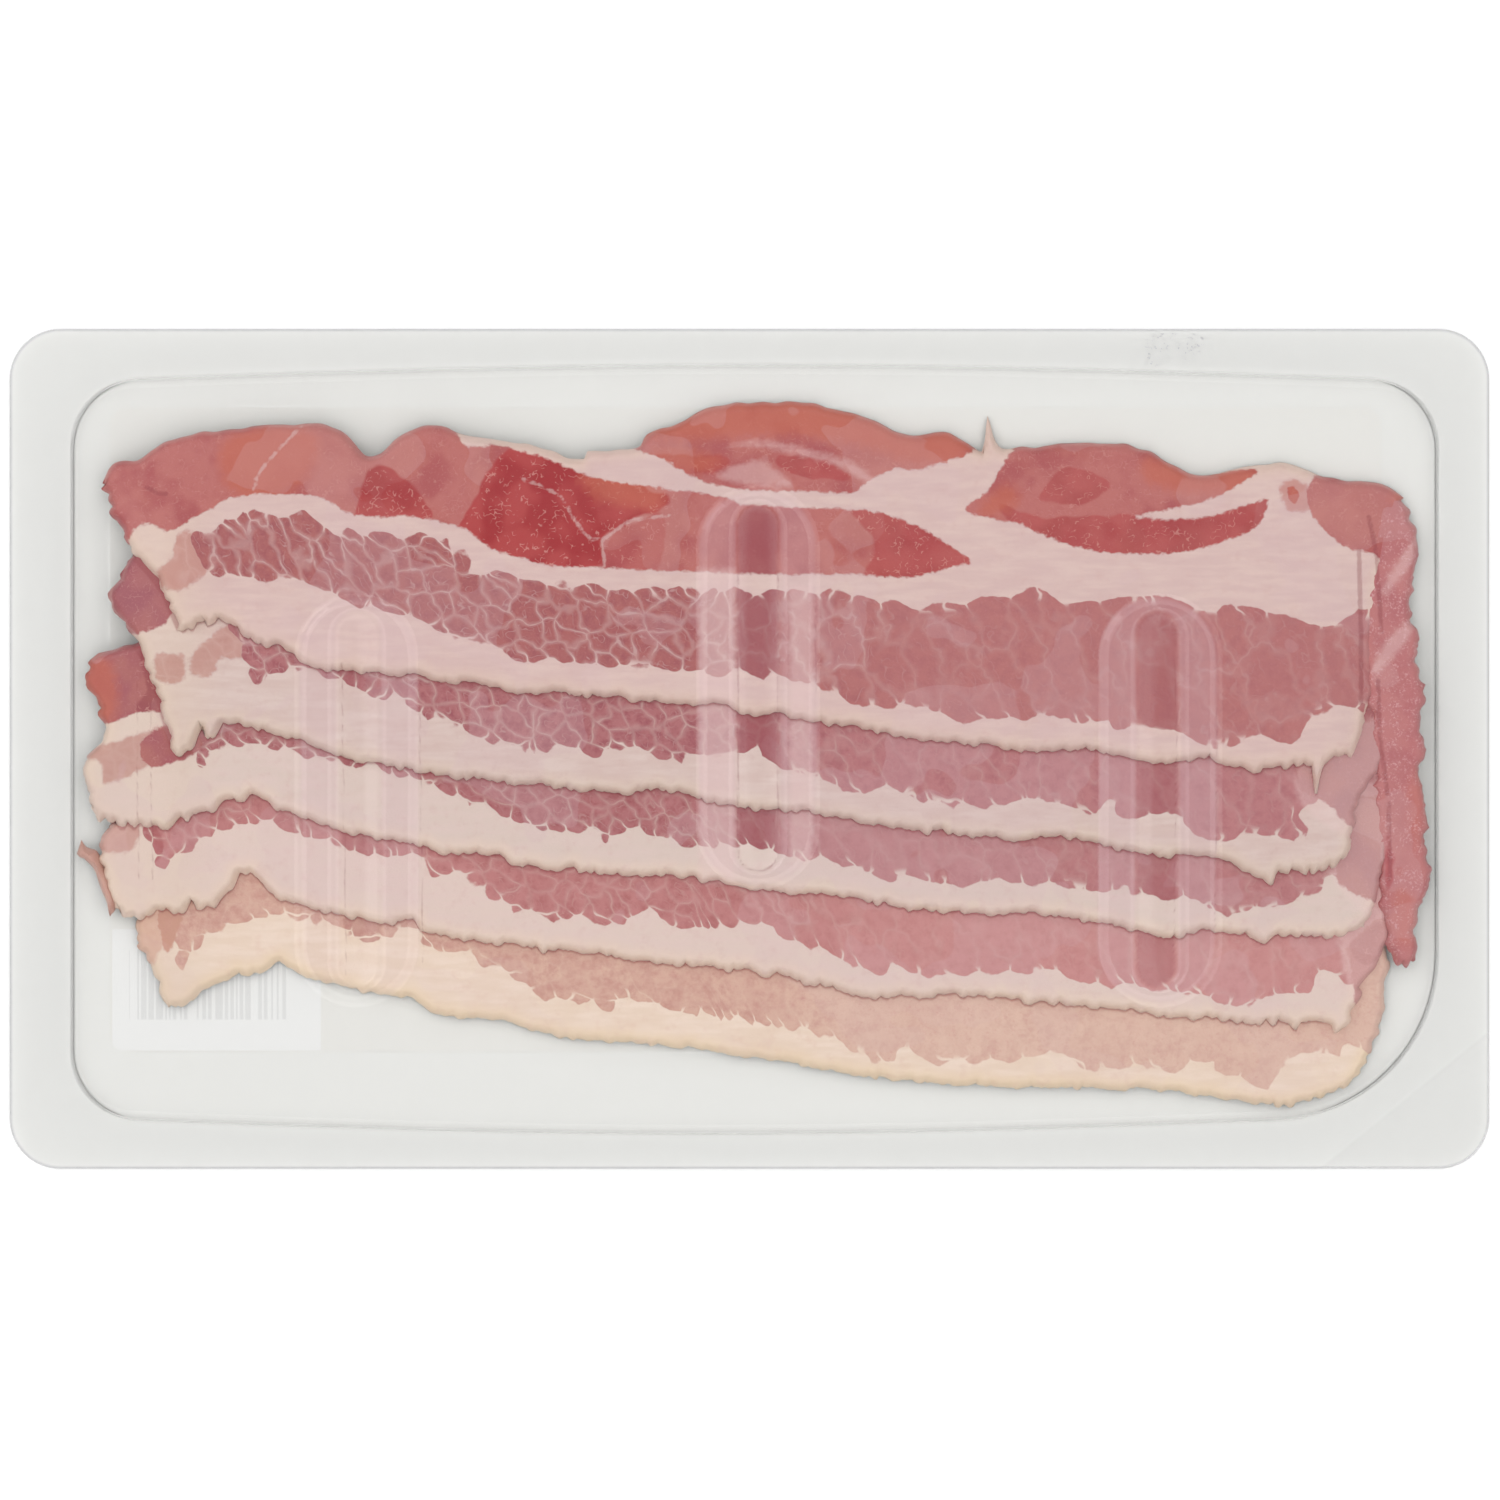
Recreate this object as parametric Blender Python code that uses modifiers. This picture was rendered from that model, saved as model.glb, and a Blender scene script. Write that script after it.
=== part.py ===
"""Sealed bacon pack lying with its clear ribbed tray up, lid film and label underneath.

Five shingled rashers lie inside like roof tiles. +X runs along the pack, +Y from the
rashers' fat edges to their lean edges, +Z up, and the origin is bottom centre.
"""

import math

import bmesh
import bpy
from mathutils import Vector, noise

MM = 0.001

# Driving dimensions, in metres.
PACK_LENGTH = 0.262
PACK_WIDTH = 0.1487
PACK_CORNER_RADIUS = 0.009
TOUCH_GAP = 0.0003

LABEL_LEFT, LABEL_RIGHT = -0.1134, 0.112
LABEL_NEAR, LABEL_FAR = -0.0537, 0.0605
LABEL_CORNER_RADIUS = 0.003
LABEL_THICKNESS = 0.0002

FILM_THICKNESS = 0.0002

TRAY_THICKNESS = 0.0004
CAVITY_LEFT, CAVITY_RIGHT = -0.1196, 0.122
CAVITY_NEAR, CAVITY_FAR = -0.0662, 0.0657
CAVITY_CORNER_RADIUS = 0.013
PEEL_CORNER_RADIUS = 0.030
SIDE_BOW = 0.0018
WALL_RUN = 0.0020

RIB_WIDTH, RIB_HEIGHT = 0.0214, 0.0009
RIB_CREST_WIDTH = 0.0184
GROOVE_MOUTH_WIDTH, GROOVE_WIDTH, GROOVE_DEPTH = 0.0096, 0.0066, 0.0003
GROOVE_END_SETBACK = 0.0026
RIBS = {  # centre x: (near end y, far end y)
    -0.0685: (-0.045, 0.027),
    0.0015: (-0.0245, 0.046),
    0.0716: (-0.045, 0.027),
}

RASHER_THICKNESS = 0.0018
RASHER_PITCH = RASHER_THICKNESS + TOUCH_GAP
FAT_EDGE_STEP = 0.0150
LEAN_EDGE_STEP = 0.0140
LOWEST_FAT_EDGE_Y = -0.0585
LOWEST_LEAN_EDGE_Y = 0.0035
EDGE_SLOPE = -0.12
LEAN_SIDE_RAMP = 0.018
FAT_SIDE_RAMP = 0.034
RAGGED_EDGE = 0.0005

# Levels that follow from the sizes above.
FILM_Z = LABEL_THICKNESS + TOUCH_GAP
FLANGE_Z = FILM_Z + FILM_THICKNESS + TOUCH_GAP
RASHER_Z = FLANGE_Z
RASHER_COUNT = 5
MEAT_TOP = RASHER_Z + (RASHER_COUNT - 1) * RASHER_PITCH + RASHER_THICKNESS
PANEL_TOP = MEAT_TOP + 0.0004 + GROOVE_DEPTH + TRAY_THICKNESS

# Each rasher from the lowest up, in mm: the fat edge and the lean edge as y over x, and the
# x of its two ends from the fat edge to the lean edge. Lean edges under another rasher are
# plain. The top rasher's right end hangs down along the wall of the tray.
RASHERS = [
    {
        "name": "rasher_5",
        "colour": (0.72, 0.42, 0.36, 1.0),
        "fat_edge": [(-103, -45), (-96, -43), (-92, -40), (-84, -37.8), (-73, -42), (-57, -45.5),
                     (-45, -48), (-25, -51.5), (-5, -53.5), (10, -56), (25, -58.3), (45, -59.8),
                     (70, -60.2), (85, -62), (93, -62.8), (103, -61), (108, -58)],
        "lean_edge": [(-106, -27), (-98, -8), (-84, 6), (-60, 9), (0, 1.5), (60, -5), (100, -12),
                      (111, -24)],
        "left_end": [-103, -106, -108.5, -108, -106],
        "right_end": [108, 111, 113, 112.5, 110],
    },
    {
        "name": "rasher_4",
        "colour": (0.66, 0.34, 0.33, 1.0),
        "fat_edge": [(-113, -27.5), (-108, -30), (-100, -29), (-92, -26), (-89.5, -22.5),
                     (-85, -25), (-79, -27.8), (-71, -29.5), (-60, -30.5), (-50, -33.7),
                     (-30, -36), (-15, -37.8), (6, -40.2), (20, -43.6), (43, -44), (62, -45.9),
                     (80, -47.8), (101, -48.7), (106, -48.5)],
        "lean_edge": [(-112, -13), (-104, 4), (-92, 16), (-78, 22), (-60, 22.5), (0, 15.5),
                      (60, 9), (100, 2), (111, -8)],
        "left_end": [-113, -115, -116.6, -115, -112],
        "right_end": [106, 108, 111, 112, 111],
    },
    {
        "name": "rasher_3",
        "colour": (0.64, 0.33, 0.33, 1.0),
        "fat_edge": [(-115.5, -12), (-105, -14), (-100, -12.5), (-92, -9.3), (-86, -8.3),
                     (-80, -11.5), (-69, -15), (-60, -16.8), (-45, -18.8), (-35, -20.7),
                     (-15, -22.3), (0, -25), (15, -25.9), (30, -28.2), (50, -29.3), (65, -31),
                     (75, -33), (87, -32.7), (100, -32.5), (108, -32)],
        "lean_edge": [(-115, 17), (-107, 19.5), (-96, 29), (-80, 36), (-60, 36.5), (0, 29.5),
                      (60, 23), (100, 16), (111, 8)],
        "left_end": [-115.5, -116.6, -114, -116.4, -115],
        "right_end": [108, 110.5, 111, 112, 111],
    },
    {
        "name": "rasher_2",
        "colour": (0.63, 0.33, 0.34, 1.0),
        "fat_edge": [(-101.5, 0), (-97, 1), (-93.5, 3.5), (-88, 4.5), (-80, 2), (-70, -2),
                     (-60, -3.7), (-40, -6.3), (-22, -7.7), (0, -10.5), (17, -11.8), (35, -14.8),
                     (57, -16), (65, -18), (77, -19), (91, -22.5), (102, -20.5), (105.5, -18)],
        "lean_edge": [(-107, 36), (-96, 45), (-80, 49.5), (-60, 49.5), (0, 43.5), (60, 37),
                      (100, 31), (110, 26)],
        "left_end": [-101.5, -103.5, -107, -112.3, -107],
        "right_end": [105.5, 106, 109, 110.5, 110],
    },
    {
        "name": "rasher_1",
        "colour": (0.62, 0.30, 0.32, 1.0),
        "fat_edge": [(-110, 35.5), (-107, 32.5), (-102, 31.5), (-98.5, 26.5), (-95, 22.5),
                     (-90, 21.3), (-82, 18), (-74, 13.9), (-60, 12.8), (-40, 10.2), (-15, 8.2),
                     (0, 6), (12, 4.7), (28, 1.7), (50, -0.3), (74, -2), (98, -2.5), (105, -1),
                     (109, 4), (110.5, -10), (111.5, -33), (114, -37.5), (118, -37)],
        "lean_edge": [(-114.5, 47), (-108, 51), (-100, 55.2), (-80, 57.3), (-71, 55), (-67, 51.6),
                      (-62, 55.2), (-54, 56.9), (-40, 54), (-30, 51), (-18, 55.5), (-9, 60),
                      (8, 61.4), (25, 57), (40, 53.5), (62, 54.2), (79, 48.9), (95, 50.5),
                      (108, 47.5), (115, 46)],
        "left_end": [-110, -111, -112.5, -113.5, -114.5],
        "right_end": [118, 118.8, 118.6, 117.2, 115],
    },
]
LENGTH_STEPS = 38
END_STEPS = 3
WIDTH_STEPS = 9


def clear_scene():
    for item in list(bpy.data.objects):
        bpy.data.objects.remove(item, do_unlink=True)


def make_collection(name):
    collection = bpy.data.collections.new(name)
    bpy.context.scene.collection.children.link(collection)
    return collection


def material(name, colour, roughness, alpha=1.0):
    made = bpy.data.materials.new(name)
    made.use_nodes = True
    shader = made.node_tree.nodes["Principled BSDF"]
    shader.inputs["Base Color"].default_value = colour
    shader.inputs["Roughness"].default_value = roughness
    shader.inputs["Metallic"].default_value = 0.0
    shader.inputs["Alpha"].default_value = alpha
    made.diffuse_color = (*colour[:3], alpha)
    return made


def rounded_outline(left, right, near, far, radii, bow=0.0, arc_steps=6, side_steps=4):
    """Points anticlockwise from the near left corner, sides bowed out by bow at mid-length."""
    corners = [(left, near, 180), (right, near, 270), (right, far, 0), (left, far, 90)]
    points = []
    for index, (x, y, start) in enumerate(corners):
        radius = radii[index]
        centre_x = x + radius * (1 if x == left else -1)
        centre_y = y + radius * (1 if y == near else -1)
        for step in range(arc_steps + 1):
            angle = math.radians(start + 90 * step / arc_steps)
            points.append((centre_x + radius * math.cos(angle), centre_y + radius * math.sin(angle)))
        next_x, next_y, _ = corners[(index + 1) % 4]
        next_radius = radii[(index + 1) % 4]
        if y == next_y:
            begin = Vector((x + radius if x == left else x - radius, y))
            end = Vector((next_x - next_radius if next_x == right else next_x + next_radius, y))
            outward = Vector((0, bow if y == far else -bow))
        else:
            begin = Vector((x, y + radius if y == near else y - radius))
            end = Vector((x, next_y - next_radius if next_y == far else next_y + next_radius))
            outward = Vector((0, 0))
        for step in range(1, side_steps):
            part = step / side_steps
            point = begin.lerp(end, part) + outward * math.sin(math.pi * part)
            points.append((point.x, point.y))
    return points


def stadium_outline(centre_x, near, far, width, arc_steps=8):
    """A slot with round ends at near and far, anticlockwise from the near end's left side."""
    radius = width / 2
    points = []
    for centre_y, start in ((near + radius, 180), (far - radius, 0)):
        for step in range(arc_steps + 1):
            angle = math.radians(start + 180 * step / arc_steps)
            points.append((centre_x + radius * math.cos(angle), centre_y + radius * math.sin(angle)))
    return points


def plate(name, collection, outline, low_z, thickness, surface):
    """A flat sheet cut to an outline."""
    curve = bpy.data.curves.new(name, "CURVE")
    curve.dimensions = "2D"
    curve.fill_mode = "BOTH"
    curve.extrude = thickness / 2
    spline = curve.splines.new("POLY")
    spline.points.add(len(outline) - 1)
    for point, (x, y) in zip(spline.points, outline):
        point.co = (x, y, 0, 1)
    spline.use_cyclic_u = True
    curve.materials.append(surface)
    sheet = bpy.data.objects.new(name, curve)
    sheet.location.z = low_z + thickness / 2
    collection.objects.link(sheet)
    return sheet


def ring(mesh, outline, z):
    """The corners of a closed loop at one height."""
    return [mesh.verts.new((x, y, z)) for x, y in outline]


def loft(mesh, rings):
    """A band of faces from each loop to the next."""
    for inner, outer in zip(rings, rings[1:]):
        for index in range(len(inner)):
            after = (index + 1) % len(inner)
            mesh.faces.new((inner[index], inner[after], outer[after], outer[index]))


def rim(corners):
    """The edges round a lofted loop."""
    return [edge for corner in corners for edge in corner.link_edges
            if edge.is_boundary and edge.other_vert(corner) in corners and edge.verts[0] == corner]


def pack_outline():
    half_length, half_width = PACK_LENGTH / 2, PACK_WIDTH / 2
    radii = [PACK_CORNER_RADIUS] * 4
    return rounded_outline(-half_length, half_length, -half_width, half_width, radii)


def cavity_outline(inset):
    """The cavity's rim moved inwards by inset, its peel corner at the near right."""
    radii = [CAVITY_CORNER_RADIUS, PEEL_CORNER_RADIUS, CAVITY_CORNER_RADIUS, CAVITY_CORNER_RADIUS]
    radii = [radius - inset for radius in radii]
    return rounded_outline(CAVITY_LEFT + inset, CAVITY_RIGHT - inset, CAVITY_NEAR + inset,
                           CAVITY_FAR - inset, radii, bow=SIDE_BOW)


def rib_rings(mesh, centre_x, near, far):
    """One pressed rib: a raised oval crest round a groove that reaches down to the meat."""
    flank = (RIB_WIDTH - RIB_CREST_WIDTH) / 2
    side = (GROOVE_MOUTH_WIDTH - GROOVE_WIDTH) / 2
    sections = [  # width, distance from the rib's end, height
        (RIB_WIDTH, 0.0, PANEL_TOP),
        (RIB_CREST_WIDTH, flank, PANEL_TOP + RIB_HEIGHT),
        (GROOVE_MOUTH_WIDTH, GROOVE_END_SETBACK, PANEL_TOP + RIB_HEIGHT),
        (GROOVE_WIDTH, GROOVE_END_SETBACK + side, PANEL_TOP - GROOVE_DEPTH),
    ]
    return [ring(mesh, stadium_outline(centre_x, near + setback, far - setback, width), z)
            for width, setback, z in sections]


def make_tray(collection, surface):
    """Flange, steep wall and ribbed panel as one thin formed sheet."""
    mesh = bmesh.new()
    flange_top = FLANGE_Z + TRAY_THICKNESS
    wall = [
        (0.0, flange_top),
        (0.25 * WALL_RUN, flange_top + 0.0010),
        (0.70 * WALL_RUN, PANEL_TOP - 0.0016),
        (0.90 * WALL_RUN, PANEL_TOP - 0.0005),
        (1.35 * WALL_RUN, PANEL_TOP),
    ]
    rings = [ring(mesh, pack_outline(), flange_top)]
    rings += [ring(mesh, cavity_outline(inset), z) for inset, z in wall]
    loft(mesh, rings)

    panel_edges = rim(rings[-1])
    for centre_x, (near, far) in RIBS.items():
        rib = rib_rings(mesh, centre_x, near, far)
        loft(mesh, rib)
        panel_edges += rim(rib[0])
        bmesh.ops.edgeloop_fill(mesh, edges=rim(rib[-1]))
    bmesh.ops.triangle_fill(mesh, edges=panel_edges, use_beauty=True)

    bmesh.ops.recalc_face_normals(mesh, faces=mesh.faces)
    top_face = max(mesh.faces, key=lambda face: face.calc_center_median().z)
    if top_face.normal.z < 0:
        bmesh.ops.reverse_faces(mesh, faces=mesh.faces)
    data = bpy.data.meshes.new("tray")
    mesh.to_mesh(data)
    mesh.free()
    data.materials.append(surface)
    data.shade_smooth()
    data.set_sharp_from_angle(angle=math.radians(35))
    tray = bpy.data.objects.new("tray", data)
    collection.objects.link(tray)
    shell = tray.modifiers.new("sheet", "SOLIDIFY")
    shell.thickness = TRAY_THICKNESS
    shell.offset = -1.0
    shell.use_even_offset = True
    return tray


def along(points, position):
    """A smooth curve's height at a position, through (position, height) points."""
    if position <= points[0][0]:
        return points[0][1]
    for index in range(len(points) - 1):
        x0, y0 = points[index]
        x1, y1 = points[index + 1]
        if position <= x1:
            before = points[max(index - 1, 0)]
            after = points[min(index + 2, len(points) - 1)]
            slope0 = (y1 - before[1]) / (x1 - before[0])
            slope1 = (after[1] - y0) / (after[0] - x0)
            span = x1 - x0
            t = (position - x0) / span
            return ((2 * t ** 3 - 3 * t ** 2 + 1) * y0 + (t ** 3 - 2 * t ** 2 + t) * span * slope0
                    + (3 * t ** 2 - 2 * t ** 3) * y1 + (t ** 3 - t ** 2) * span * slope1)
    return points[-1][1]


def cover(distance, ramp):
    """1 over a rasher, falling to 0 a ramp's length past its edge."""
    part = min(max(distance / ramp, 0.0), 1.0)
    return 0.5 + 0.5 * math.cos(math.pi * part)


def underside(level, x, y):
    """Height of a rasher's underside where it drapes over those below, level 0 the lowest."""
    height = RASHER_Z
    for lower in range(level):
        past_lean = y - (LOWEST_LEAN_EDGE_Y + EDGE_SLOPE * x + lower * LEAN_EDGE_STEP)
        past_fat = (LOWEST_FAT_EDGE_Y + EDGE_SLOPE * x + lower * FAT_EDGE_STEP) - y
        height += RASHER_PITCH * cover(past_lean, LEAN_SIDE_RAMP) * cover(past_fat, FAT_SIDE_RAMP)
    return height


def stations():
    """Fractions along a rasher, closer together at its two ends."""
    ends = 2.2 / LENGTH_STEPS
    fine = [ends * step / END_STEPS / 1.1 for step in range(END_STEPS)]
    middle_steps = LENGTH_STEPS - 2 * END_STEPS
    first = fine[-1] + ends / END_STEPS
    middle = [first + (1 - 2 * first) * step / middle_steps for step in range(middle_steps + 1)]
    return fine + middle + [1 - part for part in reversed(fine)]


def make_rasher(collection, shape, level):
    """A grid fitted between the edges and ends, draped, and thickened upwards."""
    columns = stations()
    left_end = [(i / (len(shape["left_end"]) - 1), x) for i, x in enumerate(shape["left_end"])]
    right_end = [(i / (len(shape["right_end"]) - 1), x) for i, x in enumerate(shape["right_end"])]
    mesh = bmesh.new()
    bmesh.ops.create_grid(mesh, x_segments=len(columns) - 1, y_segments=WIDTH_STEPS, size=0.5)
    for corner in mesh.verts:
        column = columns[round((corner.co.x + 0.5) * (len(columns) - 1))]
        across = min(max(corner.co.y + 0.5, 0.0), 1.0)
        left, right = along(left_end, across), along(right_end, across)
        low_x = left_end[0][1] + (right_end[0][1] - left_end[0][1]) * column
        high_x = left_end[-1][1] + (right_end[-1][1] - left_end[-1][1]) * column
        low_y = along(shape["fat_edge"], low_x) * MM
        high_y = along(shape["lean_edge"], high_x) * MM
        x = (left + (right - left) * column) * MM
        y = low_y + (high_y - low_y) * across
        if across < 0.01:
            y += RAGGED_EDGE * noise.noise(Vector((x / MM / 3.0, level * 7.3, 0)))
        corner.co = (x, y, underside(level, x, y))
    data = bpy.data.meshes.new(shape["name"])
    mesh.to_mesh(data)
    mesh.free()
    data.materials.append(material(shape["name"], shape["colour"], 0.35))
    data.shade_smooth()
    rasher = bpy.data.objects.new(shape["name"], data)
    collection.objects.link(rasher)
    slab = rasher.modifiers.new("slab", "SOLIDIFY")
    slab.thickness = RASHER_THICKNESS
    slab.offset = 1.0
    return rasher


clear_scene()
pack = make_collection("bacon_pack")

label_outline = rounded_outline(LABEL_LEFT, LABEL_RIGHT, LABEL_NEAR, LABEL_FAR,
                                [LABEL_CORNER_RADIUS] * 4, side_steps=1)
plate("label", pack, label_outline, 0.0, LABEL_THICKNESS,
      material("white_paper", (0.86, 0.86, 0.85, 1.0), 0.6))
plate("lid_film", pack, pack_outline(), FILM_Z, FILM_THICKNESS,
      material("clear_film", (0.80, 0.81, 0.81, 1.0), 0.2, alpha=0.3))
make_tray(pack, material("clear_tray", (0.80, 0.82, 0.82, 1.0), 0.15, alpha=0.25))
for rasher_level, rasher_shape in enumerate(RASHERS):
    make_rasher(pack, rasher_shape, rasher_level)
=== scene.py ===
import math

import bmesh
import bpy
import numpy as np
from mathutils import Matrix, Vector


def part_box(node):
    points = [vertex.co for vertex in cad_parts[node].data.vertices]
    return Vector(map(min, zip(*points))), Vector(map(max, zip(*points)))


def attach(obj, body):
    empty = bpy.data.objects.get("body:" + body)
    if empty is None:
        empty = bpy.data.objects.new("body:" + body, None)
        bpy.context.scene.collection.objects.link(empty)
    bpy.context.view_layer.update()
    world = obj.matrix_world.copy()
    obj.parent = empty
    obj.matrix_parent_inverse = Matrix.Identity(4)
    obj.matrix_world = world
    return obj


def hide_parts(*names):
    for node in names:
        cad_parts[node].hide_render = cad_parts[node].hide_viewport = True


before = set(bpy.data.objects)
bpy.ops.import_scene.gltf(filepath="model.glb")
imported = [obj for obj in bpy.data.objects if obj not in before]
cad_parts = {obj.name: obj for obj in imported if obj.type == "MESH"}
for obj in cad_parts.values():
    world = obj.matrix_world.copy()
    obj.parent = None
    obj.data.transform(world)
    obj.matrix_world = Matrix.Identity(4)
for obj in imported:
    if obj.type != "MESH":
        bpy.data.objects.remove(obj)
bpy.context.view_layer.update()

# The view. The pack lies flat and is photographed from straight above with a long lens,
# on pure white. The floor and the sky light are white enough to clip, as in the photo.
PHOTO_PIXELS = 1500
PACK_PIXELS = 1477
PACK_LENGTH_MM = 262.0
LENS = 100.0
SENSOR = 36.0
MM = 0.001
CENTRE_X, CENTRE_Y = 0.0001, -0.0002
frame_width = PACK_LENGTH_MM / PACK_PIXELS * PHOTO_PIXELS * MM
camera_height = frame_width * LENS / SENSOR
bpy.ops.object.camera_add(location=(CENTRE_X, CENTRE_Y, camera_height), rotation=(0, 0, 0))
camera = bpy.context.object
camera.data.lens = LENS
camera.data.sensor_width = SENSOR
camera.data.clip_start = 0.01
bpy.context.scene.camera = camera
bpy.context.scene.view_settings.view_transform = "Standard"


def colour(code):
    """An sRGB hex value as linear RGBA."""
    parts = [int(code[i:i + 2], 16) / 255 for i in (0, 2, 4)]
    linear = [p / 12.92 if p <= 0.04045 else ((p + 0.055) / 1.055) ** 2.4 for p in parts]
    return (*linear, 1.0)


def new_material(name):
    made = bpy.data.materials.new(name)
    made.use_nodes = True
    made.node_tree.nodes.clear()
    return made.node_tree


def node(tree, kind, inputs=None, **settings):
    """Adds a node with its settings, its values and its links."""
    made = tree.nodes.new("ShaderNode" + kind)
    for name, value in settings.items():
        setattr(made, name, value)
    for name, value in (inputs or {}).items():
        if isinstance(value, bpy.types.NodeSocket):
            tree.links.new(value, made.inputs[name])
        else:
            made.inputs[name].default_value = value
    return made


# A white tent, brightest from the sides, with a dark gap overhead so that the clear sheets
# mirror no veil of light at the camera, and one soft lamp from the far left.
world = bpy.data.worlds.new("studio_tent")
world.use_nodes = True
tent = world.node_tree
sky = tent.nodes["Background"]
direction = node(tent, "TexCoord")
rise = node(tent, "SeparateXYZ", {0: direction.outputs["Generated"]})
gap = node(tent, "MapRange", {"Value": rise.outputs["Z"], "From Min": 0.945, "From Max": 0.98,
                              "To Min": 1.0, "To Max": 0.07}, interpolation_type="SMOOTHSTEP")
ring_light = node(tent, "MapRange", {"Value": rise.outputs["Z"], "From Min": 0.25, "From Max": 0.65,
                                     "To Min": 0.5, "To Max": 1.47}, interpolation_type="SMOOTHSTEP")
strength = node(tent, "Math", {0: gap.outputs[0], 1: ring_light.outputs[0]}, operation="MULTIPLY")
tent.links.new(strength.outputs[0], sky.inputs["Strength"])
sky.inputs["Color"].default_value = (1.0, 1.0, 1.0, 1.0)
bpy.context.scene.world = world

LAMP_PLACE = (-0.9, 0.7, 0.8)
LAMP_TURN = (math.radians(55), 0, math.radians(232))
bpy.ops.object.light_add(type="AREA", location=LAMP_PLACE, rotation=LAMP_TURN)
lamp = bpy.context.object
lamp.data.size = 0.7
lamp.data.energy = 2.5

FLOOR_SIZE = 4.0
FLOOR_DROP = 0.00004
bpy.ops.object.select_all(action="DESELECT")
bpy.ops.mesh.primitive_plane_add(size=FLOOR_SIZE, location=(0, 0, -FLOOR_DROP))
floor = bpy.context.object
floor.name = "floor"
tree = new_material("white_table")
paint = node(tree, "BsdfDiffuse", {"Color": colour("F8F8F8")})
node(tree, "OutputMaterial", {"Surface": paint.outputs[0]})
floor.data.materials.append(bpy.data.materials["white_table"])


# The label. A white paper sheet with a matt coat, stuck to the outside of the lid film, so
# the photo sees its back through the pack, with the print of a bar field showing through.
BAR_FIELD = (-0.1130, -0.0535, -0.0760, -0.0320)
BARS = (-0.1100, -0.0480, -0.0815, -0.0356)
BAR_WIDTH_MM = 0.33


def inside(tree, position, box):
    """1 within a box on the pack, given as low x, low y, high x, high y."""
    low_x, low_y, high_x, high_y = box
    result = None
    for axis, edge, way in (("X", low_x, "GREATER_THAN"), ("X", high_x, "LESS_THAN"),
                            ("Y", low_y, "GREATER_THAN"), ("Y", high_y, "LESS_THAN")):
        test = node(tree, "Math", {0: position.outputs[axis], 1: edge}, operation=way)
        result = test if result is None else node(
            tree, "Math", {0: result.outputs[0], 1: test.outputs[0]}, operation="MULTIPLY")
    return result.outputs[0]


tree = new_material("matt_label_paper")
place = node(tree, "TexCoord")
position = node(tree, "SeparateXYZ", {0: place.outputs["Object"]})
step = node(tree, "Math", {0: position.outputs["X"], 1: BAR_WIDTH_MM * MM}, operation="DIVIDE")
count = node(tree, "Math", {0: step.outputs[0]}, operation="FLOOR")
draw = node(tree, "TexWhiteNoise", {"W": count.outputs[0]}, noise_dimensions="1D")
bar = node(tree, "Math", {0: draw.outputs["Value"], 1: 0.5}, operation="GREATER_THAN")
bars = node(tree, "Math", {0: bar.outputs[0], 1: inside(tree, position, BARS)}, operation="MULTIPLY")
fibre = node(tree, "TexNoise", {"Vector": place.outputs["Object"], "Scale": 900.0, "Detail": 3.0})
# Bars of random width stand for no number. They are strong on the printed side and only
# just show through on the back.
face = node(tree, "NewGeometry")
up = node(tree, "SeparateXYZ", {0: face.outputs["Normal"]})
is_back = node(tree, "Math", {0: up.outputs["Z"], 1: 0.0}, operation="GREATER_THAN")
print_depth = node(tree, "MapRange", {"Value": is_back.outputs[0], "To Min": 0.85, "To Max": 0.12})
ink = node(tree, "Math", {0: bars.outputs[0], 1: print_depth.outputs[0]}, operation="MULTIPLY")
paper = node(tree, "Mix", {0: fibre.outputs[0], 6: colour("F5F4F3"), 7: colour("F9F8F7")},
             data_type="RGBA")
field = node(tree, "Mix", {0: inside(tree, position, BAR_FIELD), 6: paper.outputs[2], 7: colour("FDFDFF")},
             data_type="RGBA")
printed = node(tree, "Mix", {0: ink.outputs[0], 6: field.outputs[2], 7: colour("3A3A44")},
               data_type="RGBA")
sheet = node(tree, "BsdfPrincipled", {"Base Color": printed.outputs[2], "Roughness": 0.6, "IOR": 1.45})
node(tree, "OutputMaterial", {"Surface": sheet.outputs[0]})
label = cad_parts["label"]
label.data.materials.clear()
label.data.materials.append(bpy.data.materials["matt_label_paper"])


# The lid film. A clear polyester and polythene film peeled across the whole flange and
# heat sealed to it, flat and glossy.
GLOSS_FACE_ON, GLOSS_EDGE_ON = 0.015, 0.25


def clear_plastic(name, tint):
    """Thin clear sheet: see-through, with a gloss that grows edge-on."""
    tree = new_material(name)
    clear = node(tree, "BsdfTransparent", {"Color": colour(tint)})
    gloss = node(tree, "BsdfGlossy", {"Color": (1, 1, 1, 1), "Roughness": 0.0})
    tilt = node(tree, "LayerWeight", {"Blend": 0.5})
    grazing = node(tree, "Math", {0: tilt.outputs["Facing"], 1: 4.0}, operation="POWER")
    edge = node(tree, "Math", {0: grazing.outputs[0], 1: GLOSS_EDGE_ON, 2: GLOSS_FACE_ON},
                operation="MULTIPLY_ADD")
    skin = node(tree, "MixShader", {0: edge.outputs[0], 1: clear.outputs[0], 2: gloss.outputs[0]})
    node(tree, "OutputMaterial", {"Surface": skin.outputs[0]})
    return bpy.data.materials[name]


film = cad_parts["lid_film"]
film.data.materials.clear()
film.data.materials.append(clear_plastic("clear_lid_film", "FAFAF9"))
film.visible_shadow = False    # light passes a clear sheet without a shadow


# The rashers. Raw cured back-and-streaky bacon, sliced 1.8 mm thick and laid like roof tiles
# with the fat edges towards the viewer. Each drapes over those below it, as in the CAD.
RASHER_THICKNESS = 0.0018
TOUCH_GAP = 0.0003
RASHER_PITCH = RASHER_THICKNESS + TOUCH_GAP
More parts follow.
